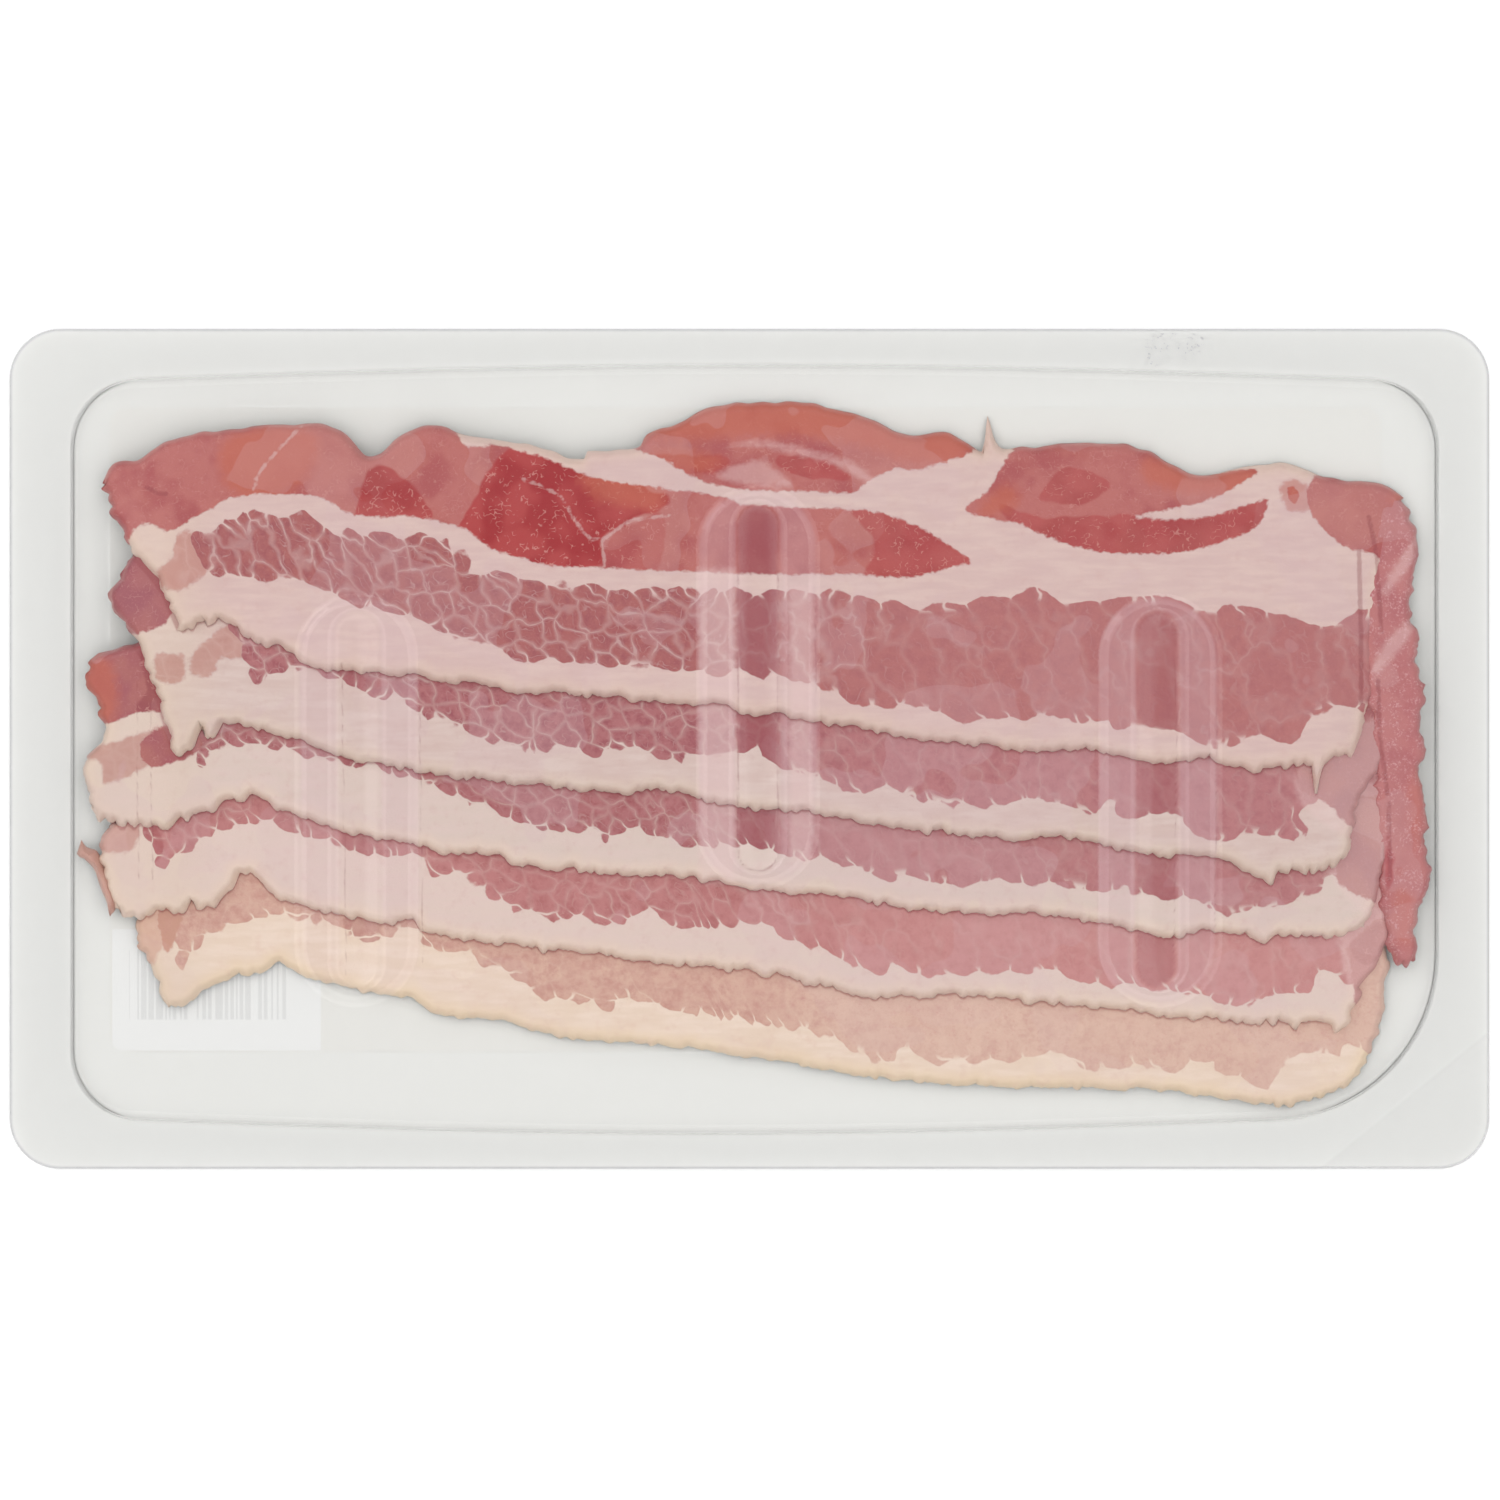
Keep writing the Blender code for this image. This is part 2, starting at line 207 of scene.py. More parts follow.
# How the slices step and slope across the pack, as in the CAD.
FAT_EDGE_STEP, LEAN_EDGE_STEP = 0.0150, 0.0140
LOWEST_FAT_EDGE_Y, LOWEST_LEAN_EDGE_Y = -0.0585, 0.0035
EDGE_SLOPE = -0.12
LEAN_SIDE_RAMP, FAT_SIDE_RAMP = 0.018, 0.034
rasher_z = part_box("rasher_5")[0][2]
# The grid is fine along a slice and over the part of it that shows.
CELL_MM = 0.45
ROW_MM = 0.6
EXPOSED_MM = 24.0
HIDDEN_CELL_MM = 1.2
EDGE_TAPER_MM = 1.4
EDGE_SAG = 0.0003
# Depth in mm of the knobs of the fat edge, by place along the pack.
KNOB_DEPTH = ([-120, -95, -84, 84, 95, 120], [1.7, 1.7, 0.7, 0.7, 1.5, 1.5])
# The tray's ribs as centre x, near y and far y; the pale bands of painted reflection beside the middle
# groove; lines of painted shade, most along the ribs' edges; and how hard each groove presses on the meat.
RIBS = ((-68.5, -45.0, 27.0), (1.5, -24.5, 46.0), (71.6, -45.0, 27.0))
PALE_BANDS = ((-9.2, -2.2, -24.0, 32.0), (6.8, 11.2, -20.0, 29.0))
SHADE_LINES = ((-71.3, -40.0, 15.0), (-57.7, -38.0, 12.0), (11.6, 10.0, 27.0), (74.7, -36.0, 22.0),
               (81.8, -33.0, 21.0), (-107.7, -23.0, 12.0), (-105.2, -23.0, 10.0))
GROOVE_PRESS = (0.25, 0.7, 0.4)
GROOVE_BLUR_MM = 0.35
SHADE_LINE_FAINTER_MM, GROOVE_FAINTER_MM = 0.33, 0.25
RIB_WIDTH_MM, GROOVE_WIDTH_MM, GROOVE_SETBACK_MM = 21.4, 7.0, 3.0
FAR_MM = 50.0
END_DROOP = 0.5
LEFT_DROOP_MM, RIGHT_DROOP_MM = -117.0, 116.0
DROOP_LENGTH_MM = 17.0
EDGE_DETAIL_MM = 7.0


def cover(distance, ramp):
    """1 up to the start of a ramp, easing to 0 at its end."""
    part = np.clip(distance / ramp, 0.0, 1.0)
    return 0.5 + 0.5 * np.cos(np.pi * part)


def underside(level, x, y):
    """Height of a rasher's underside where it drapes over those below, level 0 the lowest."""
    height = np.full_like(x, rasher_z)
    for lower in range(level):
        past_lean = y - (LOWEST_LEAN_EDGE_Y + EDGE_SLOPE * x + lower * LEAN_EDGE_STEP)
        past_fat = (LOWEST_FAT_EDGE_Y + EDGE_SLOPE * x + lower * FAT_EDGE_STEP) - y
        height += RASHER_PITCH * cover(past_lean, LEAN_SIDE_RAMP) * cover(past_fat, FAT_SIDE_RAMP)
    # The free ends sag towards the film.
    sag = cover(x - LEFT_DROOP_MM * MM, DROOP_LENGTH_MM * MM)
    sag += cover(RIGHT_DROOP_MM * MM - x, DROOP_LENGTH_MM * MM)
    return rasher_z + (height - rasher_z) * (1 - END_DROOP * sag)


def through(points, per_step=8, closed=False):
    """A smooth curve through given points."""
    knots = np.array(points, float)
    if closed:
        knots = np.vstack([knots[-1], knots, knots[0], knots[1]])
    else:
        knots = np.vstack([2 * knots[0] - knots[1], knots, 2 * knots[-1] - knots[-2]])
    t = np.linspace(0, 1, per_step, endpoint=False)[:, None]
    runs = []
    for a, b, c, d in zip(knots, knots[1:], knots[2:], knots[3:]):
        runs.append(0.5 * (2 * b + (c - a) * t + (2 * a - 5 * b + 4 * c - d) * t ** 2
                           + (3 * b - a - 3 * c + d) * t ** 3))
    if not closed:
        runs.append(knots[-2:-1])
    return np.vstack(runs)


def height_along(points, positions):
    """The curve's second value where its first is each position."""
    curve = through(points)
    order = np.maximum.accumulate(curve[:, 0])
    return np.interp(positions, order + np.arange(len(order)) * 1e-9, curve[:, 1])


def unevenness(positions, step, seed):
    """Smooth random waver between -1 and 1 with a knot every step."""
    knots = np.random.default_rng(seed).uniform(-1, 1, 2000)
    at = positions / step + 900
    low = np.floor(at).astype(int)
    part = at - low
    part = part * part * (3 - 2 * part)
    return knots[low] * (1 - part) + knots[low + 1] * part


def reach(x, y, outline):
    """Distance in mm from the edge of a closed outline, positive inside it."""
    nearest = np.full_like(x, 1e9)
    within = np.zeros(x.shape, bool)
    for (ax, ay), (bx, by) in zip(outline, np.roll(outline, -1, axis=0)):
        dx, dy = bx - ax, by - ay
        along = np.clip(((x - ax) * dx + (y - ay) * dy) / max(dx * dx + dy * dy, 1e-9), 0, 1)
        nearest = np.minimum(nearest, (x - ax - along * dx) ** 2 + (y - ay - along * dy) ** 2)
        crosses = (ay > y) != (by > y)
        if by != ay:
            within ^= crosses & (x < dx * (y - ay) / (by - ay) + ax)
    return np.sqrt(nearest) * np.where(within, 1, -1)


def line_distance(x, y, line):
    """Distance in mm from an open line."""
    nearest = np.full_like(x, 1e9)
    for (ax, ay), (bx, by) in zip(line, line[1:]):
        dx, dy = bx - ax, by - ay
        along = np.clip(((x - ax) * dx + (y - ay) * dy) / max(dx * dx + dy * dy, 1e-9), 0, 1)
        nearest = np.minimum(nearest, (x - ax - along * dx) ** 2 + (y - ay - along * dy) ** 2)
    return np.sqrt(nearest)


def nearest_line(x, y, lines):
    """Distance in mm from the nearest of several curves."""
    nearest = np.full_like(x, FAR_MM)
    for line in lines:
        nearest = np.minimum(nearest, line_distance(x, y, through(line, 5)))
    return nearest


def union_reach(x, y, patches):
    """Distance in mm inside the nearest patch."""
    best = np.full_like(x, -FAR_MM)
    for patch in patches:
        best = np.maximum(best, reach(x, y, through(patch, 6, closed=True)))
    return best


def soaked(x, y, patches):
    """Distance inside the nearest wet patch, and how wet that patch is."""
    best = np.full_like(x, -FAR_MM)
    depth = np.zeros_like(x)
    for strength, patch in patches:
        distance = reach(x, y, through(patch, 6, closed=True))
        depth = np.where(distance > best, strength, depth)
        best = np.maximum(best, distance)
    return best, depth


def rib_reach(x, y, width, setback, ribs=RIBS):
    """Distance inside the nearest rib's oval."""
    best = np.full_like(x, -FAR_MM)
    for centre, near, far in ribs:
        low, high = near + setback + width / 2, far - setback - width / 2
        best = np.maximum(best, width / 2 - np.hypot(x - centre, y - np.clip(y, low, high)))
    return best


def knobs(positions, pitch, seed):
    """Rounded lumps of random size side by side, from 0 at their joins to 1 at the biggest."""
    place = positions / pitch + 0.55 * unevenness(positions, 3 * pitch, seed)
    number = np.floor(place).astype(int)
    size = np.random.default_rng(seed + 50).uniform(0.1, 1.0, 4000)[number + 2000]
    return size * np.sqrt(1 - (2 * (place - number) - 1) ** 2)


def fat_edge_line(shape, x_mm):
    """The ragged fat edge, in small knobs where the rind was cut away, bigger near the ends."""
    seed = shape["seed"]
    fine = 0.22 * unevenness(x_mm, 1.25, seed + 1) + 0.2 * unevenness(x_mm, 0.7, seed + 3)
    depth = np.interp(x_mm, *KNOB_DEPTH)
    return height_along(shape["fat_edge"], x_mm) + shape.get("ragged", 1.0) * (
        fine + 0.35 * unevenness(x_mm, 2.6, seed) - depth * (knobs(x_mm, 2.1, seed + 2) - 0.4))


def broad_line(points, x_mm):
    """The line without its spurs and nicks, which the inner rows of a slice follow."""
    return np.mean([height_along(points, x_mm + step) for step in range(-7, 8)], axis=0)


def fade(distance):
    """1 at an edge, 0 where the detail of that edge has died out."""
    return np.clip(1 - distance / EDGE_DETAIL_MM, 0, 1) ** 2


def groove_press(x, y):
    """How hard each rib's groove presses on the meat."""
    best = np.zeros_like(x)
    for press, rib in zip(GROOVE_PRESS, RIBS):
        depth = rib_reach(x, y, GROOVE_WIDTH_MM, GROOVE_SETBACK_MM, [rib])
        best = np.maximum(best, press * np.clip(depth / GROOVE_BLUR_MM, 0, 1))
    return best


def outside(shape, x, y):
    """Distance in mm beyond the near side or an end of a rasher, negative under it."""
    ends = []
    for place, key in ((0, "left_end"), (-1, "right_end")):
        near, far = shape["fat_edge"][place][1], shape["lean_edge"][place][1]
        stations = shape[key]
        ends.append(np.interp((y - near) / (far - near), np.linspace(0, 1, len(stations)), stations))
    left, right = ends
    return np.maximum(fat_edge_line(shape, x) - y, np.maximum(left - x, x - right))


def slice_grid(shape):
    """Column and row fractions: fine where the rasher shows, wide where another covers it."""
    columns = int(round((shape["right_end"][0] - shape["left_end"][0]) / CELL_MM))
    width = shape["width"]
    if shape["level"] == 4 or width < EXPOSED_MM:
        rows = list(np.linspace(0, 1, int(width / ROW_MM) + 1))
    else:
        fine = int(EXPOSED_MM / ROW_MM)
        hidden = int((width - EXPOSED_MM) / HIDDEN_CELL_MM)
        rows = list(np.linspace(0, EXPOSED_MM / width, fine, endpoint=False))
        rows += list(np.linspace(EXPOSED_MM / width, 1, hidden))
    return columns, np.array(rows)


def write_attribute(mesh, name, values):
    mesh.attributes.new(name, "FLOAT", "POINT").data.foreach_set("value", values.astype(np.float32))


def coordinates(mesh):
    flat = np.empty(len(mesh.vertices) * 3)
    mesh.vertices.foreach_get("co", flat)
    return flat.reshape(-1, 3)


def end_line(stations, across):
    """Where an end of a slice lies, from evenly spaced stations across it."""
    return height_along(list(zip(np.linspace(0, 1, len(stations)), stations)), across)


def cut_outline(shape, column, across):
    """The points of a grid in mm, once it is cut to the slice's outline."""
    seed = shape["seed"]
    left, right = end_line(shape["left_end"], across), end_line(shape["right_end"], across)
    low_x = shape["left_end"][0] + (shape["right_end"][0] - shape["left_end"][0]) * column
    high_x = shape["left_end"][-1] + (shape["right_end"][-1] - shape["left_end"][-1]) * column
    low_y, high_y = broad_line(shape["fat_edge"], low_x), broad_line(shape["lean_edge"], high_x)
    near_detail = fat_edge_line(shape, low_x) - low_y
    far_line = height_along(shape["lean_edge"], high_x) + 0.25 * unevenness(high_x, 2.3, seed + 5)
    far_detail = far_line - high_y
    y = low_y + (high_y - low_y) * across
    from_corner = np.clip(np.minimum(across, 1 - across) * shape["width"] / 3, 0, 1)
    left_lumps = (1.1 * knobs(y, 2.6, seed + 7) - 0.5) * from_corner
    left_detail = 0.5 * unevenness(y, 1.3, seed + 17) - left_lumps
    right_detail = 0.45 * unevenness(y, 3.2, seed + 8) + 0.45 * unevenness(y, 1.4, seed + 18)
    right_detail += 0.25 * unevenness(y, 0.7, seed + 28)
    x = left + (right - left) * column
    x += left_detail * fade((right - left) * column) + right_detail * fade((right - left) * (1 - column))
    y += near_detail * fade((high_y - low_y) * across) + far_detail * fade((high_y - low_y) * (1 - across))
    return x, y


def rim_distance(x, y, grid):
    """Distance in mm from the slice's own edge, for points numbered in a grid."""
    border = np.concatenate([grid[0], grid[1:, -1], grid[-1, -2::-1], grid[-2:0:-1, 0]])
    rim = np.maximum(reach(x, y, np.c_[x[border], y[border]][::2]), 0.0)
    rim[border] = 0.0
    return rim


def pale_reach(shape, x, y):
    """Distance inside the slice's pale patches or the pale bands beside a groove."""
    pale = union_reach(x, y, shape.get("pale", []))
    for left, right, near, far in PALE_BANDS:
        band = np.minimum(np.minimum(x - left, right - x), np.minimum(y - near, far - y))
        pale = np.maximum(pale, band)
    return pale


def crease_distance(shape, x, y):
    """Distance from the slice's creases, from the lines of painted shade, most along the ribs' edges, and
    from the middle groove's edge.
    """
    crease = nearest_line(x, y, shape.get("creases", []))
    for line_x, low, high in SHADE_LINES:
        crease = np.minimum(crease, np.hypot(x - line_x, y - np.clip(y, low, high)) + SHADE_LINE_FAINTER_MM)
    groove_edge = np.abs(rib_reach(x, y, GROOVE_WIDTH_MM, GROOVE_SETBACK_MM, RIBS[1:2]))
    return np.minimum(crease, groove_edge + GROOVE_FAINTER_MM)


def bundle_place(shape, x, y):
    """A place in the pattern of muscle bundles, which widens along the slice."""
    width = np.interp(x, *shape["bundle_width"])
    steps = np.linspace(-125, 125, 501)
    paced = np.concatenate([[0], np.cumsum(0.5 / np.interp(steps[1:], *shape["bundle_width"]))])
    along = np.interp(x + 0.25 * y, steps, paced)
    across = y / np.interp(x, *shape["bundle_height"]) + 0.12 * x / width
    return np.c_[along, across, np.full_like(x, shape["seed"])]


def write_meat_maps(mesh, shape, above, x, y, rim):
    """What the material draws by: mostly distances in mm inside given outlines."""
    wet, soak = soaked(x, y, shape["wet"])
    ring = np.minimum(rib_reach(x, y, RIB_WIDTH_MM, 0.0),
                      -rib_reach(x, y, GROOVE_WIDTH_MM, GROOVE_SETBACK_MM))
    write_attribute(mesh, "lean", union_reach(x, y, shape["lean"]))
    write_attribute(mesh, "streak", union_reach(x, y, shape["streak"]))
    write_attribute(mesh, "rim", rim)
    write_attribute(mesh, "sinew", nearest_line(x, y, shape.get("sinews", [])))
    write_attribute(mesh, "crease", crease_distance(shape, x, y))
    write_attribute(mesh, "fleck", np.full_like(x, shape.get("flecks", 0.0)))
    write_attribute(mesh, "wet", wet)
    write_attribute(mesh, "soak", soak)
    write_attribute(mesh, "warm", union_reach(x, y, shape.get("warm", [])))
    write_attribute(mesh, "pale", pale_reach(shape, x, y))
    write_attribute(mesh, "thin", union_reach(x, y, shape.get("thin", [])))
    write_attribute(mesh, "gap", ring)
    write_attribute(mesh, "press", groove_press(x, y))
    write_attribute(mesh, "tuck", np.full_like(x, FAR_MM) if above is None else outside(above, x, y))
    write_attribute(mesh, "seam", np.interp(x, *shape["seam_strength"]))
    mesh.attributes.new("bundle", "FLOAT_VECTOR", "POINT").data.foreach_set(
        "vector", bundle_place(shape, x, y).astype(np.float32).ravel())


def thicken(mesh, shape):
    """Turns the draped sheet into a slab that thins to a soft edge all round."""
    seed = shape["seed"]
    bpy.ops.object.mode_set(mode="EDIT")
    bpy.ops.mesh.select_all(action="SELECT")
    bpy.ops.mesh.extrude_region_move(TRANSFORM_OT_translate={"value": (0, 0, RASHER_THICKNESS)})
    bpy.ops.object.mode_set(mode="OBJECT")
    points = coordinates(mesh)
    rim = np.empty(len(points))
    mesh.attributes["rim"].data.foreach_get("value", rim)
    upper = np.zeros(len(points), bool)
    mesh.vertices.foreach_get("select", upper)
    roundness = np.sin(np.clip(rim / EDGE_TAPER_MM, 0, 1) * math.pi / 2)
    ripple = 0.03 * unevenness(points[:, 0] / MM, 6.0, seed + 11)
    ripple *= unevenness(points[:, 1] / MM, 5.0, seed + 12)
    thick = RASHER_THICKNESS * (0.08 + 0.92 * roundness) * (0.97 + ripple)
    points[upper, 2] += (thick - RASHER_THICKNESS)[upper]
    if shape["level"]:
        points[:, 2] -= EDGE_SAG * (1 - roundness)
    mesh.vertices.foreach_set("co", points.ravel())
    bpy.ops.object.mode_set(mode="EDIT")
    bpy.ops.mesh.select_all(action="SELECT")
    bpy.ops.mesh.normals_make_consistent(inside=False)
    bpy.ops.object.mode_set(mode="OBJECT")
    bpy.ops.object.shade_smooth_by_angle(angle=math.radians(60))


def lay_rasher(shape, above=None):
    """A slab cut to the rasher's outline, draped, with soft edges and the maps of its meat."""
    columns, rows = slice_grid(shape)
    bpy.ops.object.select_all(action="DESELECT")
    bpy.ops.mesh.primitive_grid_add(x_subdivisions=columns, y_subdivisions=len(rows) - 1, size=1.0)
    piece = bpy.context.object
    piece.name = shape["name"]
    mesh = piece.data
    square = coordinates(mesh)
    column = square[:, 0] + 0.5
    row = np.round((square[:, 1] + 0.5) * (len(rows) - 1)).astype(int)
    across = rows[np.clip(row, 0, len(rows) - 1)]
    x, y = cut_outline(shape, column, across)
    sink = shape.get("sink", 0.0) * cover((y + 20) * MM, 0.035)
    z = underside(shape["level"], x * MM, y * MM) - sink
    mesh.vertices.foreach_set("co", np.c_[x * MM, y * MM, z].ravel())
    grid = np.lexsort((column, across)).reshape(len(rows), columns + 1)
    write_meat_maps(mesh, shape, above, x, y, rim_distance(x, y, grid))
    thicken(mesh, shape)
    return piece


def raw_bacon(name, tints):
    """Moist cured pork: rose lean in bundles, cream fat, redder where it touches the tray."""
    tree = new_material(name)
    place = node(tree, "TexCoord")
    mm = node(tree, "VectorMath", {0: place.outputs["Object"], 3: 1000.0}, operation="SCALE")
    maps = {key: node(tree, "Attribute", attribute_name=key) for key in
            ("lean", "streak", "thin", "warm", "pale", "rim", "wet", "soak", "gap", "press", "tuck",
             "bundle", "seam", "sinew", "crease", "fleck")}

    def noise(scale, detail=1.0, vector=None, roughness=0.5):
        return node(tree, "TexNoise", {"Vector": (vector or mm).outputs[0], "Scale": scale,
                                       "Detail": detail, "Roughness": roughness}).outputs[0]

    def calc(operation, *values):
        return node(tree, "Math", dict(enumerate(values)), operation=operation).outputs[0]

    def ramp(value, low, high, start=0.0, end=1.0):
        return node(tree, "MapRange", {"Value": value, "From Min": low, "From Max": high,
                                       "To Min": start, "To Max": end},
                    interpolation_type="SMOOTHSTEP").outputs[0]

    def blend(factor, first, second):
        first = colour(first) if isinstance(first, str) else first
        second = colour(second) if isinstance(second, str) else second
        return node(tree, "Mix", {0: factor, 6: first, 7: second}, data_type="RGBA").outputs[2]

    def value_of(key):
        return maps[key].outputs["Fac"]

    x_mm = node(tree, "SeparateXYZ", {0: mm.outputs[0]}).outputs[0]
    broad = noise(0.06, 2.0)
    mottle = noise(0.55, 3.0, roughness=0.65)
    grain = noise(2.4, 2.0, roughness=0.6)
    ragged = calc("SUBTRACT", noise(0.9, 2.0), 0.5)

    # Bundles of muscle fibre, each in its own white sheath, and finer sheaths that fade out.
    warp = node(tree, "TexNoise", {"Vector": mm.outputs[0], "Scale": 0.3, "Detail": 1.0})
    shift = node(tree, "VectorMath", {0: warp.outputs["Color"], 3: 0.8}, operation="SCALE")
    cells = node(tree, "VectorMath", {0: maps["bundle"].outputs["Vector"], 1: shift.outputs[0]},
                 operation="ADD")
    sheath = node(tree, "TexVoronoi", {"Vector": cells.outputs[0], "Scale": 1.0},
                  feature="DISTANCE_TO_EDGE", voronoi_dimensions="2D").outputs["Distance"]
    bundle = node(tree, "TexVoronoi", {"Vector": cells.outputs[0], "Scale": 1.0},
                  voronoi_dimensions="2D")
    tone = node(tree, "SeparateColor", {0: bundle.outputs["Color"]}).outputs[0]
    vein = calc("ABSOLUTE", calc("SUBTRACT", noise(1.6, 1.0, cells), 0.5))
    vein = calc("MULTIPLY", ramp(vein, 0.022, 0.0), ramp(mottle, 0.35, 0.6))

    solid = ramp(calc("MULTIPLY_ADD", ragged, 1.3, value_of("lean")), -0.25, 0.3)
    lobes = calc("MULTIPLY_ADD", bundle.outputs["Distance"], -2.4, value_of("streak"))
    lobes = calc("MULTIPLY_ADD", ragged, 0.5, lobes)
    edge_gap = calc("MAXIMUM", ramp(sheath, 0.01, 0.07), ramp(value_of("streak"), 0.3, 1.5))
    streaky = calc("MULTIPLY", ramp(lobes, -1.15, -0.85), edge_gap)
    line_width = calc("MULTIPLY_ADD", mottle, 0.16, -0.055)
    sharp = ramp(calc("SUBTRACT", sheath, line_width), 0.05, -0.02, 0.0, 0.7)
    sharp = calc("MULTIPLY", sharp, ramp(noise(0.2, 1.0), 0.38, 0.6, 0.45, 1.0))
    halo = ramp(sheath, 0.20, 0.0, 0.0, 0.35)
    line = calc("MAXIMUM", calc("MAXIMUM", sharp, halo), calc("MULTIPLY", vein, 0.45))
    line = calc("MULTIPLY", line, value_of("seam"))
    sinew = ramp(calc("MULTIPLY_ADD", ragged, 1.0, value_of("sinew")), 0.45, 0.05, 0.0, 0.5)
    line = calc("MULTIPLY", line, calc("SUBTRACT", 1.0, solid))
    whiten = calc("MAXIMUM", line, sinew)

    # Lean: dull rose where air lies over it, deep red where the tray is wetted down on it.
    back = blend(ramp(noise(0.13, 2.0, roughness=0.6), 0.40, 0.64), tints["lobe"], tints["lobe_dark"])
    back = blend(ramp(mottle, 0.4, 0.7, 0.0, 0.3), back, tints["lobe_dark"])
    back = blend(ramp(broad, 0.45, 0.65, 0.0, 0.5), back, tints["orange"])
    belly = blend(ramp(mottle, 0.35, 0.75), tints["streaky"], tints["streaky_dark"])
    belly = blend(calc("MULTIPLY", tone, 0.30), belly, tints["streaky_dark"])
    far_along = calc("MULTIPLY_ADD", broad, 60.0, x_mm)
    belly = blend(ramp(far_along, 20.0, 60.0, 0.0, 0.35), belly, tints["streaky_pale"])
    lean = blend(solid, belly, back)
    lean = blend(ramp(grain, 0.52, 0.78, 0.0, 0.30), lean, "C08080")
    waver = calc("SUBTRACT", noise(0.25, 1.0), 0.5)
    wet_edge = calc("MULTIPLY_ADD", waver, 2.5, value_of("wet"))
    wetted = calc("MULTIPLY", ramp(wet_edge, -0.2, 0.45), value_of("soak"))
    wet_lean = blend(ramp(noise(0.16, 1.0), 0.4, 0.62), tints["wet"], tints["wet_dark"])
    lean = blend(wetted, lean, wet_lean)
    # Short pale flecks, partly fat and partly painted highlights glinting on air under the tray, more of
    # them where the meat is wet.
    flecks_and_glints = ramp(calc("ABSOLUTE", calc("SUBTRACT", noise(0.75, 1.0), 0.5)), 0.03, 0.012)
    flecks_and_glints = calc("MULTIPLY", flecks_and_glints, ramp(mottle, 0.50, 0.58))
    flecks_and_glints = calc("MULTIPLY", flecks_and_glints, calc("MULTIPLY_ADD", wetted, 0.3, 0.22))
    lean = blend(calc("MULTIPLY", flecks_and_glints, solid), lean, "D09C92")
    warm = ramp(calc("MULTIPLY_ADD", ragged, 2.0, value_of("warm")), -1.2, 1.8, 0.0, 0.65)
    lean = blend(warm, lean, "B8604C")
    lean = blend(whiten, lean, tints["fat"])
    lean = blend(value_of("press"), lean, "914850")
    # The folded end shows the slice's side: mauve, and mealy with small air bubbles.
    lean = blend(calc("MULTIPLY", value_of("fleck"), 0.35), lean, "BC8488")
    mealy = calc("MULTIPLY", ramp(grain, 0.50, 0.62), ramp(mottle, 0.42, 0.6, 0.0, 0.5))
    lean = blend(calc("MULTIPLY", mealy, value_of("fleck")), lean, "CFA3A5")

    # Fat: cream, pinker in the middle of a band, and straw at the cut edge, where it is also lighter with
    # painted light against the shade of the thinning edge.
    fibres = node(tree, "VectorMath", {0: mm.outputs[0], 1: (0.3, 1.6, 1.0)}, operation="MULTIPLY")
    fat = blend(ramp(noise(0.5, 2.0, fibres), 0.3, 0.75), tints["fat"], tints["fat_light"])
    fat = blend(ramp(value_of("rim"), 3.5, 0.3, 0.0, 0.8), fat, tints["fat_edge"])
    fat = blend(ramp(mottle, 0.50, 0.75, 0.0, 0.30), fat, tints["fat_pink"])
    fat = blend(ramp(x_mm, -90.0, -102.0, 0.0, 0.4), fat, "D5C0AD")
    thin = ramp(calc("MULTIPLY_ADD", ragged, 1.6, value_of("thin")), -0.3, 0.6, 0.0, 0.62)
    flesh = calc("MAXIMUM", solid, streaky)
    over_fat = calc("MULTIPLY", thin, calc("SUBTRACT", 1.0, flesh))
    lean = blend(over_fat, lean, tints["orange"])
    flesh = calc("MAXIMUM", flesh, thin)
    skin = blend(flesh, fat, lean)

    # Painted reflection: air between the tray and the meat reflects a pale veil of light, painted into the
    # colour in places and along the ribs.
    patch = ramp(broad, 0.535, 0.545)
    gap = calc("MAXIMUM", ramp(value_of("gap"), 0.0, 0.8), calc("MULTIPLY", patch, 0.6))
    gap = calc("MULTIPLY", gap, calc("SUBTRACT", 1.0, calc("MAXIMUM", wetted, value_of("press"))))
    skin = blend(calc("MULTIPLY", gap, tints["veil"]), skin, "CAACB2")
    # Painted light: reflection in the pale bands beside the middle groove, and light laid over the shaded
    # right ends of the lower slices; elsewhere the pale patches are paler meat.
    pale = ramp(calc("MULTIPLY_ADD", ragged, 1.4, value_of("pale")), -0.5, 1.1, 0.0, 0.36)
    skin = blend(calc("MULTIPLY", pale, calc("MULTIPLY_ADD", grain, -0.5, 1.25)), skin, "DDBFBC")
    # Painted shade: a thin dark line lies under the edge of the rasher above.
    shade_under_edge = calc("MULTIPLY", ramp(value_of("tuck"), 0.6, 0.1, 0.0, 0.45), ramp(x_mm, 104.0, 100.0))
    skin = blend(shade_under_edge, skin, "8E4144")
    # Painted shade darkens the creases, the lines along the ribs' edges and the edge of the middle groove.
    crease_shade = ramp(calc("MULTIPLY_ADD", ragged, 0.4, value_of("crease")), 0.60, 0.2, 0.0, 0.42)
    skin = blend(crease_shade, skin, "80343C")

    bump = node(tree, "Bump", {"Height": grain, "Strength": 0.2, "Distance": 0.0002})
    meat = node(tree, "BsdfPrincipled", {"Base Color": skin, "Roughness": 0.32, "IOR": 1.36,
                                         "Normal": bump.outputs[0]})
    node(tree, "OutputMaterial", {"Surface": meat.outputs[0]})
    return bpy.data.materials[name]


